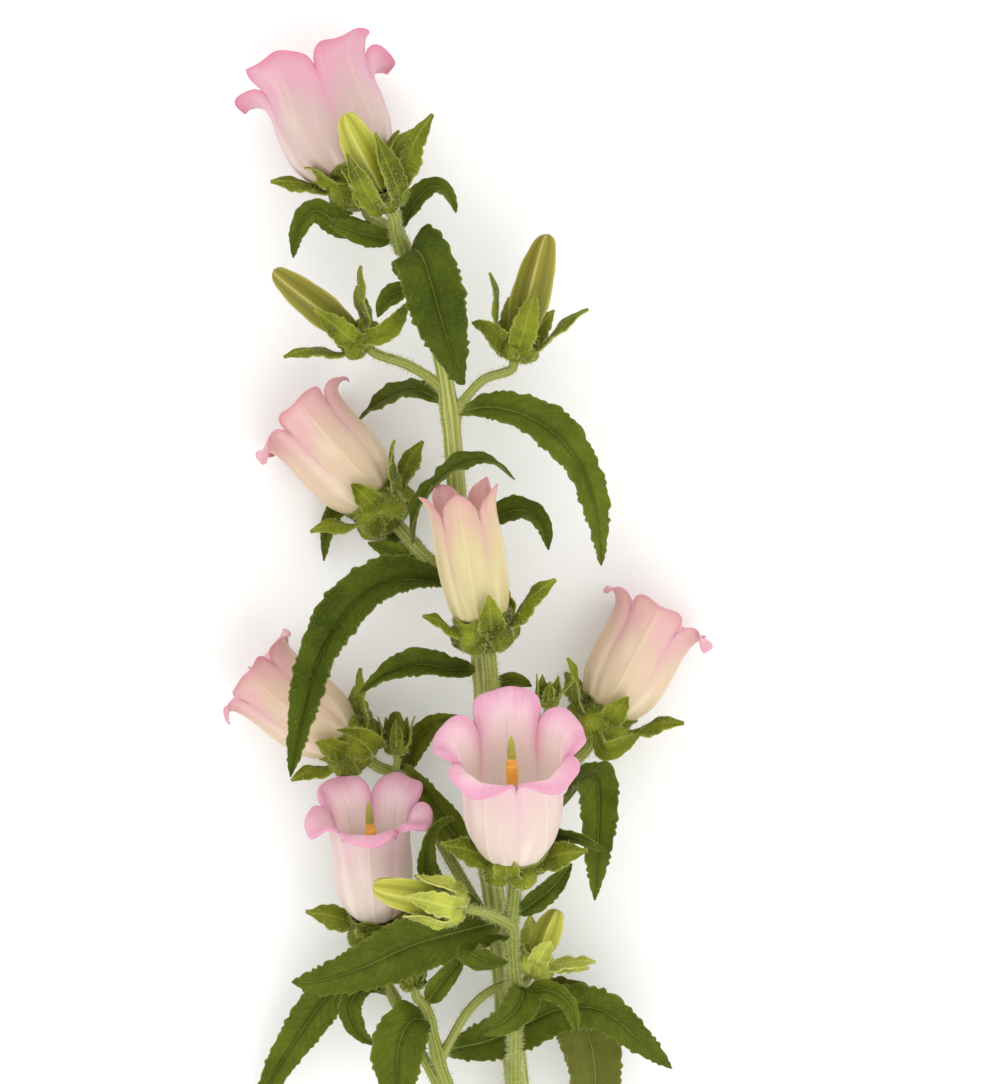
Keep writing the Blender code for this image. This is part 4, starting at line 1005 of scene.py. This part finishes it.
def sepal(form, base, axes, rim, height, petals, turn, lean, length, draw):
    # one sepal, from inside the ovary's rim out to its tip
    detail = calyxDetail
    turn, lean = radians(turn), radians(lean)
    ovary = np.array([rim, height])
    foot = ovary * detail["sepalFoot"]
    path = [inFlower(base, axes, turn, *(ovary * detail["sepalStart"])), inFlower(base, axes, turn, *foot)]
    for part, bend in ((0.5, 0.0), (1.0, detail["bend"])):
        level = foot[1] + length * part * np.cos(lean + bend)
        radius = foot[0] + length * part * np.sin(lean + bend)
        close = np.interp(level, petals[1] + height, petals[0]) + detail["hugAir"]
        hug = detail["hug"] * np.clip(2 - lean / radians(detail["hugLean"]), 0, 1)
        path.append(inFlower(base, axes, turn, radius + min(close - radius, 0) * hug, level))
    rows, cols = detail["sepalRows"], detail["sepalColumns"]
    path = smoothPath(path, rows)
    outward = inFlower((0, 0, 0), axes, turn, 1, 0)
    acrossAxis = unit(np.cross(axes[2], outward))
    part = np.linspace(0, 1, rows + 1)
    byRim, byLength = detail["sepalWide"]
    half = (byRim * rim + byLength * length) / 2 * alongOutline(sepalShape, part)[0]
    scallop = np.abs(np.sin(part * np.pi * length / detail["scallopEvery"] + draw.uniform(0, 6))) - 0.5
    half *= 1 + detail["scallop"] * scallop * np.sin(np.pi * part) ** 0.6
    a = np.linspace(-1, 1, cols)
    phase = draw.uniform(0, 6, 2)
    twist = radians(detail["twist"]) * np.sin(turn) * np.sin(lean)
    loose = min(1, lean / radians(detail["looseLean"]))
    curl = draw.uniform(0.4, 1.6) * length / 16 * loose
    grid = np.zeros((rows + 1, cols, 3))
    for row in range(rows + 1):
        tangent = unit(path[min(row + 1, rows)] - path[max(row - 1, 0)])
        across = turnedAbout(acrossAxis, tangent, twist * row / rows)
        back = np.cross(tangent, across)
        ripple = np.sin(part[row] * length / detail["rippleEvery"] + np.where(a > 0, *phase))
        ripple *= np.sin(np.pi * part[row])
        ripple *= 0.3 + 0.5 * loose
        groove = detail["groove"] * np.exp(-(a * half[row] / 0.7) ** 2)
        lift = -np.abs(a) * half[row] * 0.25 + ripple * np.abs(a) ** 3 - groove
        lift -= curl * max(part[row] - 0.7, 0) ** 2 * 12
        grid[row] = path[row] + across * (a * half[row])[:, None] + back * lift[:, None]
    edge = np.abs(a)[None, :] + np.zeros((rows + 1, 1))
    acrossMm, part = a[None, :] * half[:, None], part[:, None]
    rib = detail["rib"] * np.exp(-(acrossMm / 0.5) ** 2) * (1 - part)
    form.sheet(grid, detail["plate"] / 2 + rib, detail["plate"] / 2, upper=0.0, edge=edge, sepal=1.0,
               acrossMm=acrossMm, part=part, hairy=np.clip(edge * 5 - 4, 0.12, 1) * (1 - 0.5 * part))


def foldFlap(form, base, axes, rim, height, turn, start, draw):
    # the lobe between two sepals that is folded back over the ovary
    detail = calyxDetail
    b = np.linspace(0, 1, detail["foldRows"])[:, None]
    a = np.linspace(-1, 1, detail["foldColumns"])[None, :]
    wide = np.interp(b, *foldShape)
    wide = wide * (1 + 0.1 * np.abs(np.sin(b * 19 + draw.uniform(0, 6))))
    spin = turn + a * radians(detail["foldSpan"]) * wide
    up = detail["foldTop"] - detail["foldDown"] * b - detail["foldSag"] * (1 - a ** 2) * b
    shell, level = (column[4:54] for column in alongOutline(ovaryOutline, np.linspace(0, 1, 60)))
    radius = rim * np.interp(up, level, shell) * (1 + detail["ridge"] * np.cos(lobes * (spin - start)))

    # puffed up in the middle, ruffled at its edges, crinkled all over
    phase = draw.uniform(0, 6, 3)
    bulge = detail["foldBulge"] * rim / detail["ovaryRadius"]
    radius = radius + bulge * (0.35 + 0.65 * np.sin(np.pi * b) * (1 - a ** 2) ** 0.7)
    ruffle = np.sin(b * 15 + np.where(a > 0, phase[0], phase[1]))
    radius = radius + detail["foldRuffle"] * ruffle * np.abs(a) ** 3
    crinkle = np.sin(a * 11 + b * 5 + phase[0])
    radius = radius + detail["foldCrinkle"] * np.sin(b * 13 + a * 4 + phase[2]) * crinkle
    radius = radius + 0.5 * b ** 4
    grid = inFlower(base, axes, spin, radius, height * (up + 0.02 * np.sin(a * 9 + phase[0])))
    edge = np.maximum(np.abs(a) + 0 * b, np.clip(b * 1.1 - 0.1, 0, 1) + 0 * a)
    plate = detail["foldPlate"] / 2
    form.sheet(grid[::-1], plate, plate, upper=0.0, edge=edge[::-1], sepal=0.0, part=0.2,
               acrossMm=(a * 6 + 0 * b)[::-1], hairy=np.clip(edge * 4 - 2.6, 0.35, 1)[::-1])


def collar(form, base, axes, rim, height, start, petals):
    # the short cup that the sepals share, close round the foot of the petals
    detail = calyxDetail
    up = np.linspace(0, 1, detail["collarRows"])[:, None]
    turn = np.linspace(0, 2 * np.pi, detail["collarColumns"], endpoint=False)[None, :]
    tall = detail["collar"] * rim / detail["ovaryRadius"] * (0.7 - 0.3 * np.cos(lobes * (turn - start)))
    foot = detail["collarFrom"]
    level = height * foot + up * (height * (1 - foot) + tall)
    radius = np.interp(level, petals[1] + height + detail["petalAir"], petals[0] + detail["collarAir"])
    radius = np.maximum(radius, rim * (0.98 + 0.08 * up)) + 0.12 * np.sin(turn * 17) * up
    grid = inFlower(base, axes, turn + 0 * up, radius, level)
    plate = detail["collarPlate"] / 2
    form.sheet(grid, plate, plate, closed=True, upper=0.0, edge=up ** 4 + 0 * turn, part=0.2,
               acrossMm=noRib, hairy=0.5)


def dressCalyx(flower, scale, petals, bracts, draw):
    # petals is the outline (radius, height) of the bell or bud that the calyx holds
    form = Form()
    axes = flowerAxes(flower["axis"])
    base = np.array(flower["base"], float)
    rim, height = calyxDetail["ovaryRadius"] * scale, calyxDetail["ovaryHeight"] * scale
    start = radians(flower["sepals"][0][0] + 180 / lobes)
    grid, part, turn = turnedGrid(base, flower["axis"], ovaryOutline, rim * 0.97, height,
                                  calyxDetail["ovaryRows"], calyxDetail["ovaryColumns"],
                                  lambda part, turn: 1 + calyxDetail["ridge"] * np.cos(lobes * turn), start)
    form.layer(grid, True, False, dict(upper=0.0, edge=0.0, part=part, acrossMm=noRib, hairy=0.25))
    collar(form, base, axes, rim, height, start, petals)
    for k in range(lobes):
        foldFlap(form, base, axes, rim, height, start + k * 2 * np.pi / lobes, start, draw)
    for turn, lean, length in flower["sepals"]:
        sepal(form, base, axes, rim, height, petals, turn, lean, length, draw)
    for bract in bracts:
        leafBlade(form, np.array(bract["points"], float), bract["width"], draw, wave=0.3, plate=0.5)
    return form


calyxDown = Form()                         # every calyx and bud once more, as ground for the hairs
for number, (name, bloom) in enumerate(blooms.items()):
    bracts = [calyxBracts[name]] if name in calyxBracts else []
    outline = halfOutline if name in halfOpen else bellOutline
    throat, flare, height = alongOutline(outline, np.linspace(0, 0.8, 40))
    petals = (throat * bloom["throat"], height * bloom["length"])
    form = dressCalyx(bloom, 1.0, petals, bracts, np.random.default_rng(seeds["calyx"] + number))
    kept(form.piece("calyx_" + name + "_fine", skins["calyxSkin"], weld=True), "calyx", "calyx_" + name)
    calyxDown.join(form)
print("calyces made")


# bells

# Lengths are mm. Margin is the share of the rows that rolls back, sway how far a standing lobe leans in
# or out by itself, and notch, point and slit are shares of the petal's length.
bellDetail = dict(rows=54, columns=30, bunch=0.08, wall=0.45, notch=0.26, point=0.14, shoulder=2.8,
                  slit=0.04, slitWide=0.07, flat=0.2, ridge=0.28, ridgeWide=0.055, furrow=0.4,
                  furrowWide=0.16, wave=0.3, bend=(0.7, 2.0), uneven=0.15, spread=0.05, margin=0.12,
                  standingPoint=0.65, sway=(-0.6, 1.6))
# How far each bloom's margin rolls back (radians), the round that it rolls over (mm), and its ruffle.
marginRoll = {"top": (0.9, 0.6, 2.6), "upper_left": (1.15, 1.0, 1.3), "middle": (0.5, 0.3, 1.0),
              "lower_left": (1.15, 1.0, 1.3), "right": (1.15, 1.0, 1.3), "front": (2.3, 1.3, 1.2),
              "low": (2.3, 1.2, 1.2)}
bellSkins = {"top": "petalPale", "upper_left": "petalPeach", "middle": "petalCream",
             "lower_left": "petalPeach", "right": "petalPeach", "front": "petalPink", "low": "petalPink"}


def bellPiece(name, bloom, draw):
    # one bell, from its foot to its rolled lips
    detail, standing = bellDetail, name in halfOpen
    axes = flowerAxes(bloom["axis"])
    base = np.array(bloom["base"], float) + axes[2] * (calyxDetail["ovaryHeight"] + calyxDetail["petalAir"])
    # columns stand closer together at each lobe's ridge and at the notches
    spot = np.linspace(-1, 1, detail["columns"], endpoint=False)
    spot = spot - detail["bunch"] * np.sin(2 * np.pi * spot)
    share = (np.arange(lobes)[:, None] + (spot[None, :] + 1) / 2).reshape(1, -1)
    lobe = share.astype(int)
    toNotch = np.abs(share % 1 - 0.5) * 2
    row = np.linspace(0, 1, detail["rows"])[:, None]
    inner = np.minimum(row / (1 - detail["margin"]), 1)

    # the cut between two lobes, from a slightly pointed tip down to a narrow slit
    point = detail["standingPoint"] if standing else detail["point"]
    cut = point * toNotch + (1 - point) * toNotch ** detail["shoulder"]
    reach = 1 - detail["notch"] * cut - detail["slit"] * np.exp(-((1 - toNotch) / detail["slitWide"]) ** 2)
    part = inner ** 0.85 * reach
    throat, flare, height = alongOutline(halfOutline if standing else bellOutline, part)
    own = 1 - toNotch ** 2
    spread = 1 + draw.uniform(-1, 1, lobes)[lobe] * own * detail["spread"]
    radius = bloom["throat"] * throat + (bloom["flare"] - bloom["throat"]) * flare * spread

    # five flat faces that meet at raised ridges, and a furrow down to each notch
    swell = np.sin(np.pi * np.clip(part, 0, 0.94) / 0.94)
    faceted = 1 - np.cos(np.pi / lobes) / np.cos(np.pi / lobes * (1 - toNotch))
    radius = radius * (1 - detail["flat"] * faceted * swell ** 0.5)
    ridge = np.exp(-(toNotch / detail["ridgeWide"]) ** 2)
    radius = radius + detail["ridge"] * ridge * swell
    furrow = np.exp(-((1 - toNotch) / detail["furrowWide"]) ** 2)
    radius = radius - detail["furrow"] * furrow * np.sin(np.pi * part) ** 0.5

    # lobes bend back, each by its own amount, with soft waves
    bendStart, bendPower = bloom.get("bend", detail["bend"])
    bend = np.clip((part - bendStart) / (1 - bendStart), 0, 1) ** bendPower
    drops = np.array(bloom["drops"]) * (1 + draw.uniform(-1, 1, lobes) * detail["uneven"])
    most, small, ruffle = marginRoll[name]
    waves = detail["wave"] * ruffle * np.clip((part - 0.5) / 0.4, 0, 1) ** 2
    phase = draw.uniform(0, 6, 3)
    angle = share * 2 * np.pi / lobes
    radius = radius + waves * (np.sin(angle * 8 + phase[0]) + 0.6 * np.sin(angle * 15 + phase[1]))
    height = height * bloom["length"] + waves * np.sin(angle * 11 + phase[2])
    height = height - drops[lobe] * own * bend
    if standing:
        # the standing lobes open and close a little, each by itself
        sway = draw.uniform(*detail["sway"], lobes)[lobe]
        radius = radius + sway * own * np.clip((part - 0.7) / 0.3, 0, 1) ** 1.5

    # the margin rolls back over a small round
    last = int((1 - detail["margin"]) * (detail["rows"] - 1))
    outward, onward = radius[last] - radius[last - 1], height[last] - height[last - 1]
    step = np.hypot(outward, onward)
    outward, onward = outward / step, onward / step
    small = small * (0.75 + 0.35 * np.sin(angle * 3 + phase[1]))
    turnBack = np.clip((row - 1 + detail["margin"]) / detail["margin"], 0, 1) * most
    radius = radius + small * (np.sin(turnBack) * outward + (1 - np.cos(turnBack)) * onward)
    height = height + small * (np.sin(turnBack) * onward - (1 - np.cos(turnBack)) * outward)

    grid = inFlower(base, axes, radians(bloom["spin"]) + angle + 0 * row, radius, height)
    form = Form()
    form.sheet(grid, 0.0, detail["wall"], closed=True, upper=1.0, part=part, rim=row + 0 * part,
               vein=ridge + 0 * part, roundX=np.cos(angle) + 0 * part, roundY=np.sin(angle) + 0 * part)
    return form.piece("bloom_" + name + "_fine", skins[bellSkins[name]])


for number, (name, bloom) in enumerate(blooms.items()):
    bell = bellPiece(name, bloom, np.random.default_rng(seeds["bell"] + number))
    kept(bell, "petal_cream" if name in halfOpen else "petal_pink", "bloom_" + name)
print("bells made")


# pistils, with their pollen as grains

pistilDetail = dict(outline=[(0, 0), (1.2, 0.02), (0.72, 0.3), (0.95, 0.45), (1.3, 0.56), (1.35, 0.68),
                             (1.32, 0.745), (1.0, 0.765), (0.98, 0.85), (0.6, 0.95), (0, 1)],
                    rows=44, around=24, furrow=0.14, pollenFrom=0.46, pollenTo=0.76, grainRadius=0.22,
                    grainsPerMm=1.3)


def scatterTree(name, grain, smallest=0.55, largest=1.2):
    # hairs or grains over a surface, thicker where its attribute "hairy" is higher
    board, given = geometryTree(name, [
        ("Per Square Metre", "NodeSocketFloat", 1e6), ("Length", "NodeSocketFloat", 0.001),
        ("Radius", "NodeSocketFloat", 0.0001), ("Lean", "NodeSocketFloat", 0.5),
        ("Seed", "NodeSocketInt", 1), ("Finish", "NodeSocketMaterial", None)])
    hairy = board.add("GeometryNodeInputNamedAttribute", {"data_type": "FLOAT"}, {"Name": "hairy"})
    scatter = board.add("GeometryNodeDistributePointsOnFaces", {"distribute_method": "RANDOM"},
                        {"Mesh": given["Geometry"], "Seed": given["Seed"],
                         "Density": hairy * given["Per Square Metre"]})
    facing = Wire(board, scatter.socket.node.outputs["Rotation"])
    if grain:
        shape = board.add("GeometryNodeMeshIcoSphere", {}, {"Radius": given["Radius"], "Subdivisions": 1})
    else:
        shape = board.add("GeometryNodeMeshCone", {}, {"Vertices": 3, "Radius Top": 0.0,
                                                       "Radius Bottom": given["Radius"],
                                                       "Depth": given["Length"]})
    lean = given["Lean"]
    less = board.add("ShaderNodeCombineXYZ", {}, {0: lean * -1, 1: lean * -1, 2: 0.0})
    more = board.add("ShaderNodeCombineXYZ", {}, {0: lean, 1: lean, 2: 6.28})
    tilt = board.add("FunctionNodeRandomValue", {"data_type": "FLOAT_VECTOR"},
                     {0: less, 1: more, 8: given["Seed"]})
    tilt = board.add("FunctionNodeEulerToRotation", {}, {0: tilt})
    facing = board.add("FunctionNodeRotateRotation", {"rotation_space": "LOCAL"}, {0: facing, 1: tilt})
    size = board.add("FunctionNodeRandomValue", {"data_type": "FLOAT"},
                     {2: smallest, 3: largest, 8: given["Seed"] + 5}, 1)
    placed = board.add("GeometryNodeInstanceOnPoints", {}, {"Points": scatter, "Instance": shape,
                                                            "Rotation": facing, "Scale": size})
    closeTree(board, placed, given["Finish"])
    return board


grains = scatterTree("pollenGrains", True)
hairs = scatterTree("fineHairs", False)


def splitTip(part, turn):
    # three furrows in the green tip
    return 1 - pistilDetail["furrow"] * np.abs(np.cos(1.5 * turn)) ** 6 * (part > 0.74)


for number, (name, bloom) in enumerate(blooms.items()):
    axes = flowerAxes(bloom["axis"])
    foot = np.array(bloom["base"], float) + axes[2] * (calyxDetail["ovaryHeight"] + calyxDetail["petalAir"])
    reach = bloom["length"] * (pistilYoung if name in halfOpen else pistilReach)
    grid, part, turn = turnedGrid(foot, bloom["axis"], pistilDetail["outline"], pistilRadius, reach,
                                  pistilDetail["rows"], pistilDetail["around"], splitTip)
    form = Form()
    pollen = ((part > pistilDetail["pollenFrom"]) & (part < pistilDetail["pollenTo"])) * 1.0
    form.layer(grid, True, False, dict(part=part, hairy=pollen))
    style = kept(form.piece("pistil_" + name + "_fine", styleSkin, weld=True), "pistil", "pistil_" + name)
    dust = newObject("pollen_" + name, style.data.copy())
    dust = grow(dust, grains, {"Per Square Metre": pistilDetail["grainsPerMm"] * 1e6,
                               "Radius": pistilDetail["grainRadius"] * mm,
                               "Seed": seeds["pollen"] + number, "Finish": skins["pollenGrain"]})
    kept(dust, "pistil")
print("pistils made")


# buds

# Keel is a share of the girth, twist radians, and sink how far a green bud sits in its calyx, mm.
budDetail = dict(rows=36, around=60, keel=0.19, twist=0.5, sink=1.5)
limeBuds = {"lime", "low"}
paleBuds = limeBuds | {"top"}              # buds whose petals are still a light green


def budPetals(form, bud, foot):
    # closed petals, as a body with five keels that twist a little towards the tip
    def relief(part, turn):
        ridge = 1 - 2 * np.abs(np.sin(2.5 * (turn + budDetail["twist"] * part ** 2))) ** 0.8
        return 1 + budDetail["keel"] * ridge * (0.35 + 0.65 * np.sin(np.pi * np.clip(part, 0, 0.95)))

    grid, part, turn = turnedGrid(foot, bud["axis"], budOutline, bud["girth"], bud["length"],
                                  budDetail["rows"], budDetail["around"], relief)
    keel = 1 - np.abs(np.sin(2.5 * (turn + budDetail["twist"] * part ** 2)))
    form.layer(grid, True, False, dict(part=part, keel=keel, upper=0.0, edge=0.0, acrossMm=noRib,
                                       roundX=np.cos(turn), roundY=np.sin(turn), hairy=0.05))
    return form


for number, (name, bud) in enumerate(buds.items()):
    green = name in oneColourBuds
    bracts = [budBracts[name]] if name in budBracts else []
    girth = bud["girth"]
    scale = girth / calyxDetail["ovaryRadius"] if green else calyxDetail["budShare"]
    skinNow = skins["limeSkin" if name in limeBuds else "calyxSkin"]
    raised = -budDetail["sink"] if green else calyxDetail["petalAir"]
    radius, height = alongOutline(budOutline, np.linspace(0, 0.5, 30))
    height = height * bud["length"] + raised - calyxDetail["petalAir"]
    petals = (radius * girth * (1 + budDetail["keel"]), height)
    form = dressCalyx(bud, scale, petals, bracts, np.random.default_rng(seeds["bud"] + number))
    foot = np.array(bud["base"], float)
    foot += flowerAxes(bud["axis"])[2] * (calyxDetail["ovaryHeight"] * scale + raised)
    if green:
        budPetals(form, bud, foot)
        kept(form.piece("bud_" + name + "_fine", skinNow, weld=True), "calyx", "bud_" + name)
    else:
        kept(form.piece("bud_calyx_" + name + "_fine", skinNow, weld=True), "calyx", "bud_calyx_" + name)
        petalSkin = skins["budLime" if name in paleBuds else "budOlive"]
        petals = budPetals(Form(), bud, foot).piece("bud_" + name + "_fine", petalSkin, weld=True)
        kept(petals, "bud", "bud_" + name)
    calyxDown.join(form)
print("buds made")


# hairs on the stems, leaf edges and calyces

# Density is hairs to a square mm where the skin is fully hairy, length and radius are mm, lean is radians.
downDetail = dict(stem=dict(density=1.4, length=1.7, radius=0.1, lean=0.6),
                  leaf=dict(density=1.1, length=0.8, radius=0.05, lean=0.7),
                  calyx=dict(density=1.8, length=1.3, radius=0.08, lean=0.8))
hairFloor = 0.05                           # the lowest that a hair's tip may lie, mm over the table


def grownHairs(name, ground, seed, detail, slot):
    made = grow(ground, hairs, {"Per Square Metre": detail["density"] * 1e6, "Length": detail["length"] * mm,
                                "Radius": detail["radius"] * mm, "Lean": detail["lean"], "Seed": seed,
                                "Finish": skins["hairFine"]})
    made.name = name
    spots = np.zeros(len(made.data.vertices) * 3)
    made.data.vertices.foreach_get("co", spots)
    spots[2::3] = np.maximum(spots[2::3], hairFloor * mm)
    made.data.vertices.foreach_set("co", spots)
    print(name, len(made.data.polygons), "faces")
    kept(made, slot)


grounds = {"hairs_stem": (newObject("stem_ground", stem.data.copy()), "stem"),
           "hairs_leaves": (leafDown.piece("leaf_ground", None), "leaf"),
           "hairs_calyces": (calyxDown.piece("calyx_ground", None), "calyx")}
for name, (ground, slot) in grounds.items():
    grownHairs(name, ground, seeds[slot + "Hair"], downDetail[slot], slot)
print("hairs made")


# table, light and camera

# Places and sizes are metres, powers watts, lens and sensor mm.
studio = dict(floorSize=4.0, world=1.15, lightSize=1.5, keyAt=(0.6, -0.9, 1.6), keyPower=10.0,
              fillAt=(-0.9, 0.6, 1.4), fillPower=2.0, cameraAt=(0.0119, 0.0707, 2.045), lens=189.8,
              sensor=36, seenTo=20)
floorLooks = dict(pale=(253, 253, 252), cloud=(240, 240, 238), cloudScale=3.0, clouds=0.3)


def floorFinish():
    # a pale table with a faint cloudiness
    looks, tone = floorLooks, tones(floorLooks)
    board, done = newFinish("paleTable", {"Specular IOR Level": 0.2})
    cloud = board.noise(board.place(), looks["cloudScale"])
    body = board.mix(cloud * looks["clouds"], tone["pale"], tone["cloud"])
    return done(body, cloud * 0.1 + 0.6)


half = studio["floorSize"] / 2
mesh = bpy.data.meshes.new("table")
mesh.from_pydata([(-half, -half, 0), (half, -half, 0), (half, half, 0), (-half, half, 0)], [], [(0, 1, 2, 3)])
mesh.materials.append(floorFinish())
newObject("table", mesh)


def softLight(name):
    # a wide light that looks at the middle of the stem
    light = bpy.data.lights.new(name, "AREA")
    light.energy, light.size = studio[name + "Power"], studio["lightSize"]
    item = newObject(name, light)
    item.location = studio[name + "At"]
    item.rotation_euler = (-Vector(studio[name + "At"])).to_track_quat("-Z", "Y").to_euler()


softLight("key")
softLight("fill")

world = bpy.data.worlds.new("studio")
bpy.context.scene.world = world
world.use_nodes = True
world.node_tree.nodes["Background"].inputs["Color"].default_value = (1, 1, 1, 1)
world.node_tree.nodes["Background"].inputs["Strength"].default_value = studio["world"]

lens = bpy.data.cameras.new("camera")
lens.sensor_width, lens.lens = studio["sensor"], studio["lens"]
lens.clip_end = studio["seenTo"]
camera = newObject("camera", lens)
camera.location = studio["cameraAt"]
bpy.context.scene.camera = camera
bpy.context.scene.view_settings.view_transform = "Standard"
